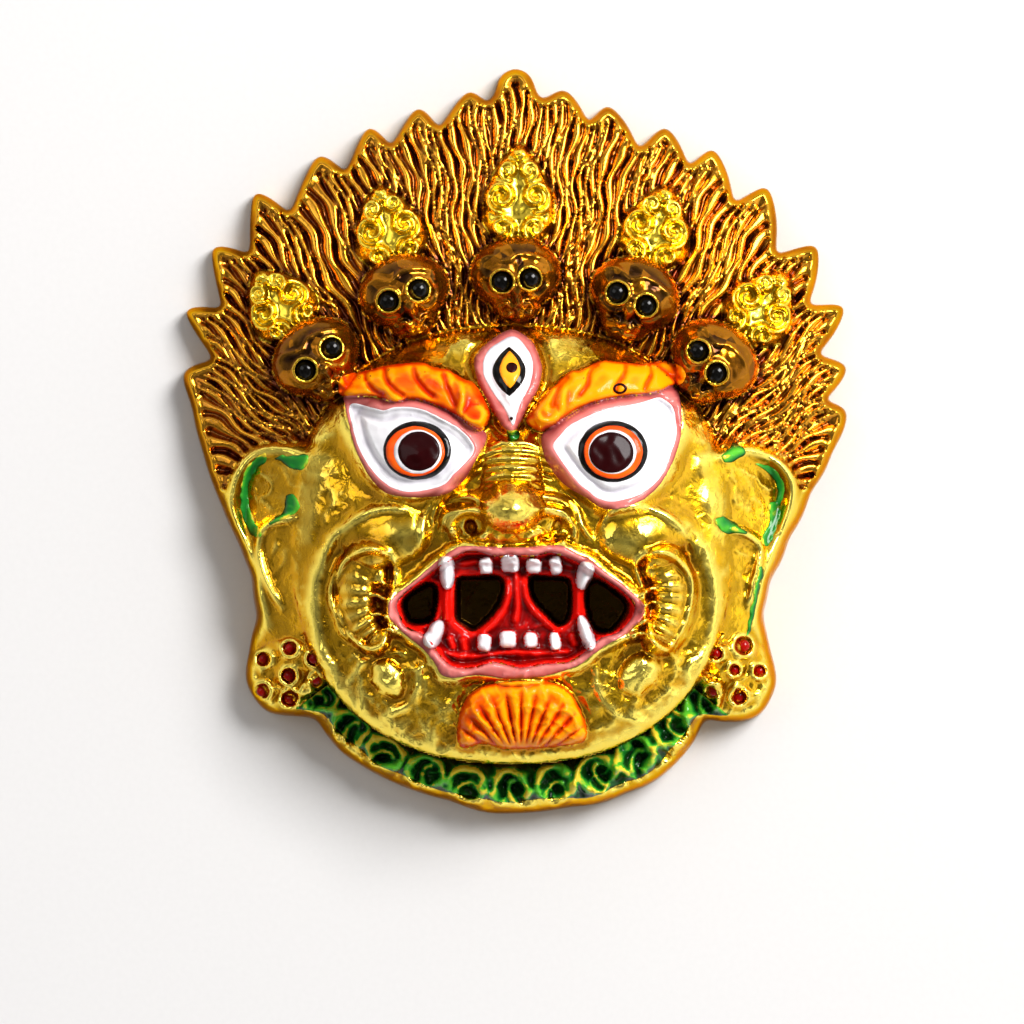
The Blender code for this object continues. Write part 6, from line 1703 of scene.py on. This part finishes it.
def studio():
    """A room with bright walls under a dim ceiling, brighter on the right and at the top, and two softboxes.

    The walls give the gilding its bright slopes, the ceiling its dark level parts, and soft screens on the
    walls break up the reflections.
    """
    world = bpy.data.worlds.new("studio")
    world.use_nodes = True
    tree = world.node_tree
    aim = node(tree, "TexCoord", {}, "Generated")
    walls = node(tree, "SeparateXYZ", {"Vector": aim}, "Z")
    walls = node(tree, "MapRange", {"Value": walls, "From Min": 0.3, "From Max": 0.9, "To Min": 0.8,
                                    "To Max": 0.19})
    side = node(tree, "SeparateXYZ", {"Vector": aim}, "X")
    side = node(tree, "MapRange", {"Value": side, "From Min": -0.8, "From Max": 0.8, "To Min": 0.48,
                                   "To Max": 1.55})
    screens = node(tree, "TexNoise", {"Vector": aim, "Scale": 2.3, "Detail": 0.0})
    screens = node(tree, "MapRange", {"Value": screens, "From Min": 0.42, "From Max": 0.58, "To Min": 0.45,
                                      "To Max": 1.5})
    front = node(tree, "SeparateXYZ", {"Vector": aim}, "Y")
    front = node(tree, "MapRange", {"Value": front, "From Min": -0.8, "From Max": 0.8, "To Min": 0.75,
                                    "To Max": 1.15})
    bright = walls
    for share in (side, screens, front):
        bright = node(tree, "Math", {0: bright, 1: share}, operation="MULTIPLY")
    tree.links.new(bright, tree.nodes["Background"].inputs["Strength"])
    tree.nodes["Background"].inputs["Color"].default_value = (1.0, 1.0, 1.0, 1.0)
    bpy.context.scene.world = world
    soft_light("key", KEY_PLACE, 0.45, 17.0)
    soft_light("fill", FILL_PLACE, 0.5, 1.6)
    bpy.context.scene.view_settings.view_transform = "Standard"


def photo_camera():
    """A long lens straight above the mask."""
    data = bpy.data.cameras.new("camera")
    data.sensor_width = 36.0
    data.lens = data.sensor_width * CAMERA_HEIGHT / (VIEW_WIDTH * HUNDREDTH)
    data.clip_end = 10.0
    camera = bpy.data.objects.new("camera", data)
    across, up = VIEW_CENTRE
    camera.location = Vector(PLACE) + Vector((across * HUNDREDTH, up * HUNDREDTH, CAMERA_HEIGHT))
    bpy.context.scene.collection.objects.link(camera)
    bpy.context.scene.camera = camera


OUTLINE = mask_outline()
MIDDLE = 0.5 * (OUTLINE.min(axis=0) + OUTLINE.max(axis=0)) * HUNDREDTH
PLACE = np.array((0.5 * (LOW[0] + HIGH[0]) - MIDDLE[0], 0.5 * (LOW[1] + HIGH[1]) - MIDDLE[1], LOW[2]))

cast_mask(OUTLINE, gilt_under_lacquer())
POTS = mixed_enamels()
paint_eyes(POTS)
paint_hair_of_face(POTS)
paint_mouth(POTS)
paint_ornaments(OUTLINE, POTS)
floor_sheet()
studio()
photo_camera()
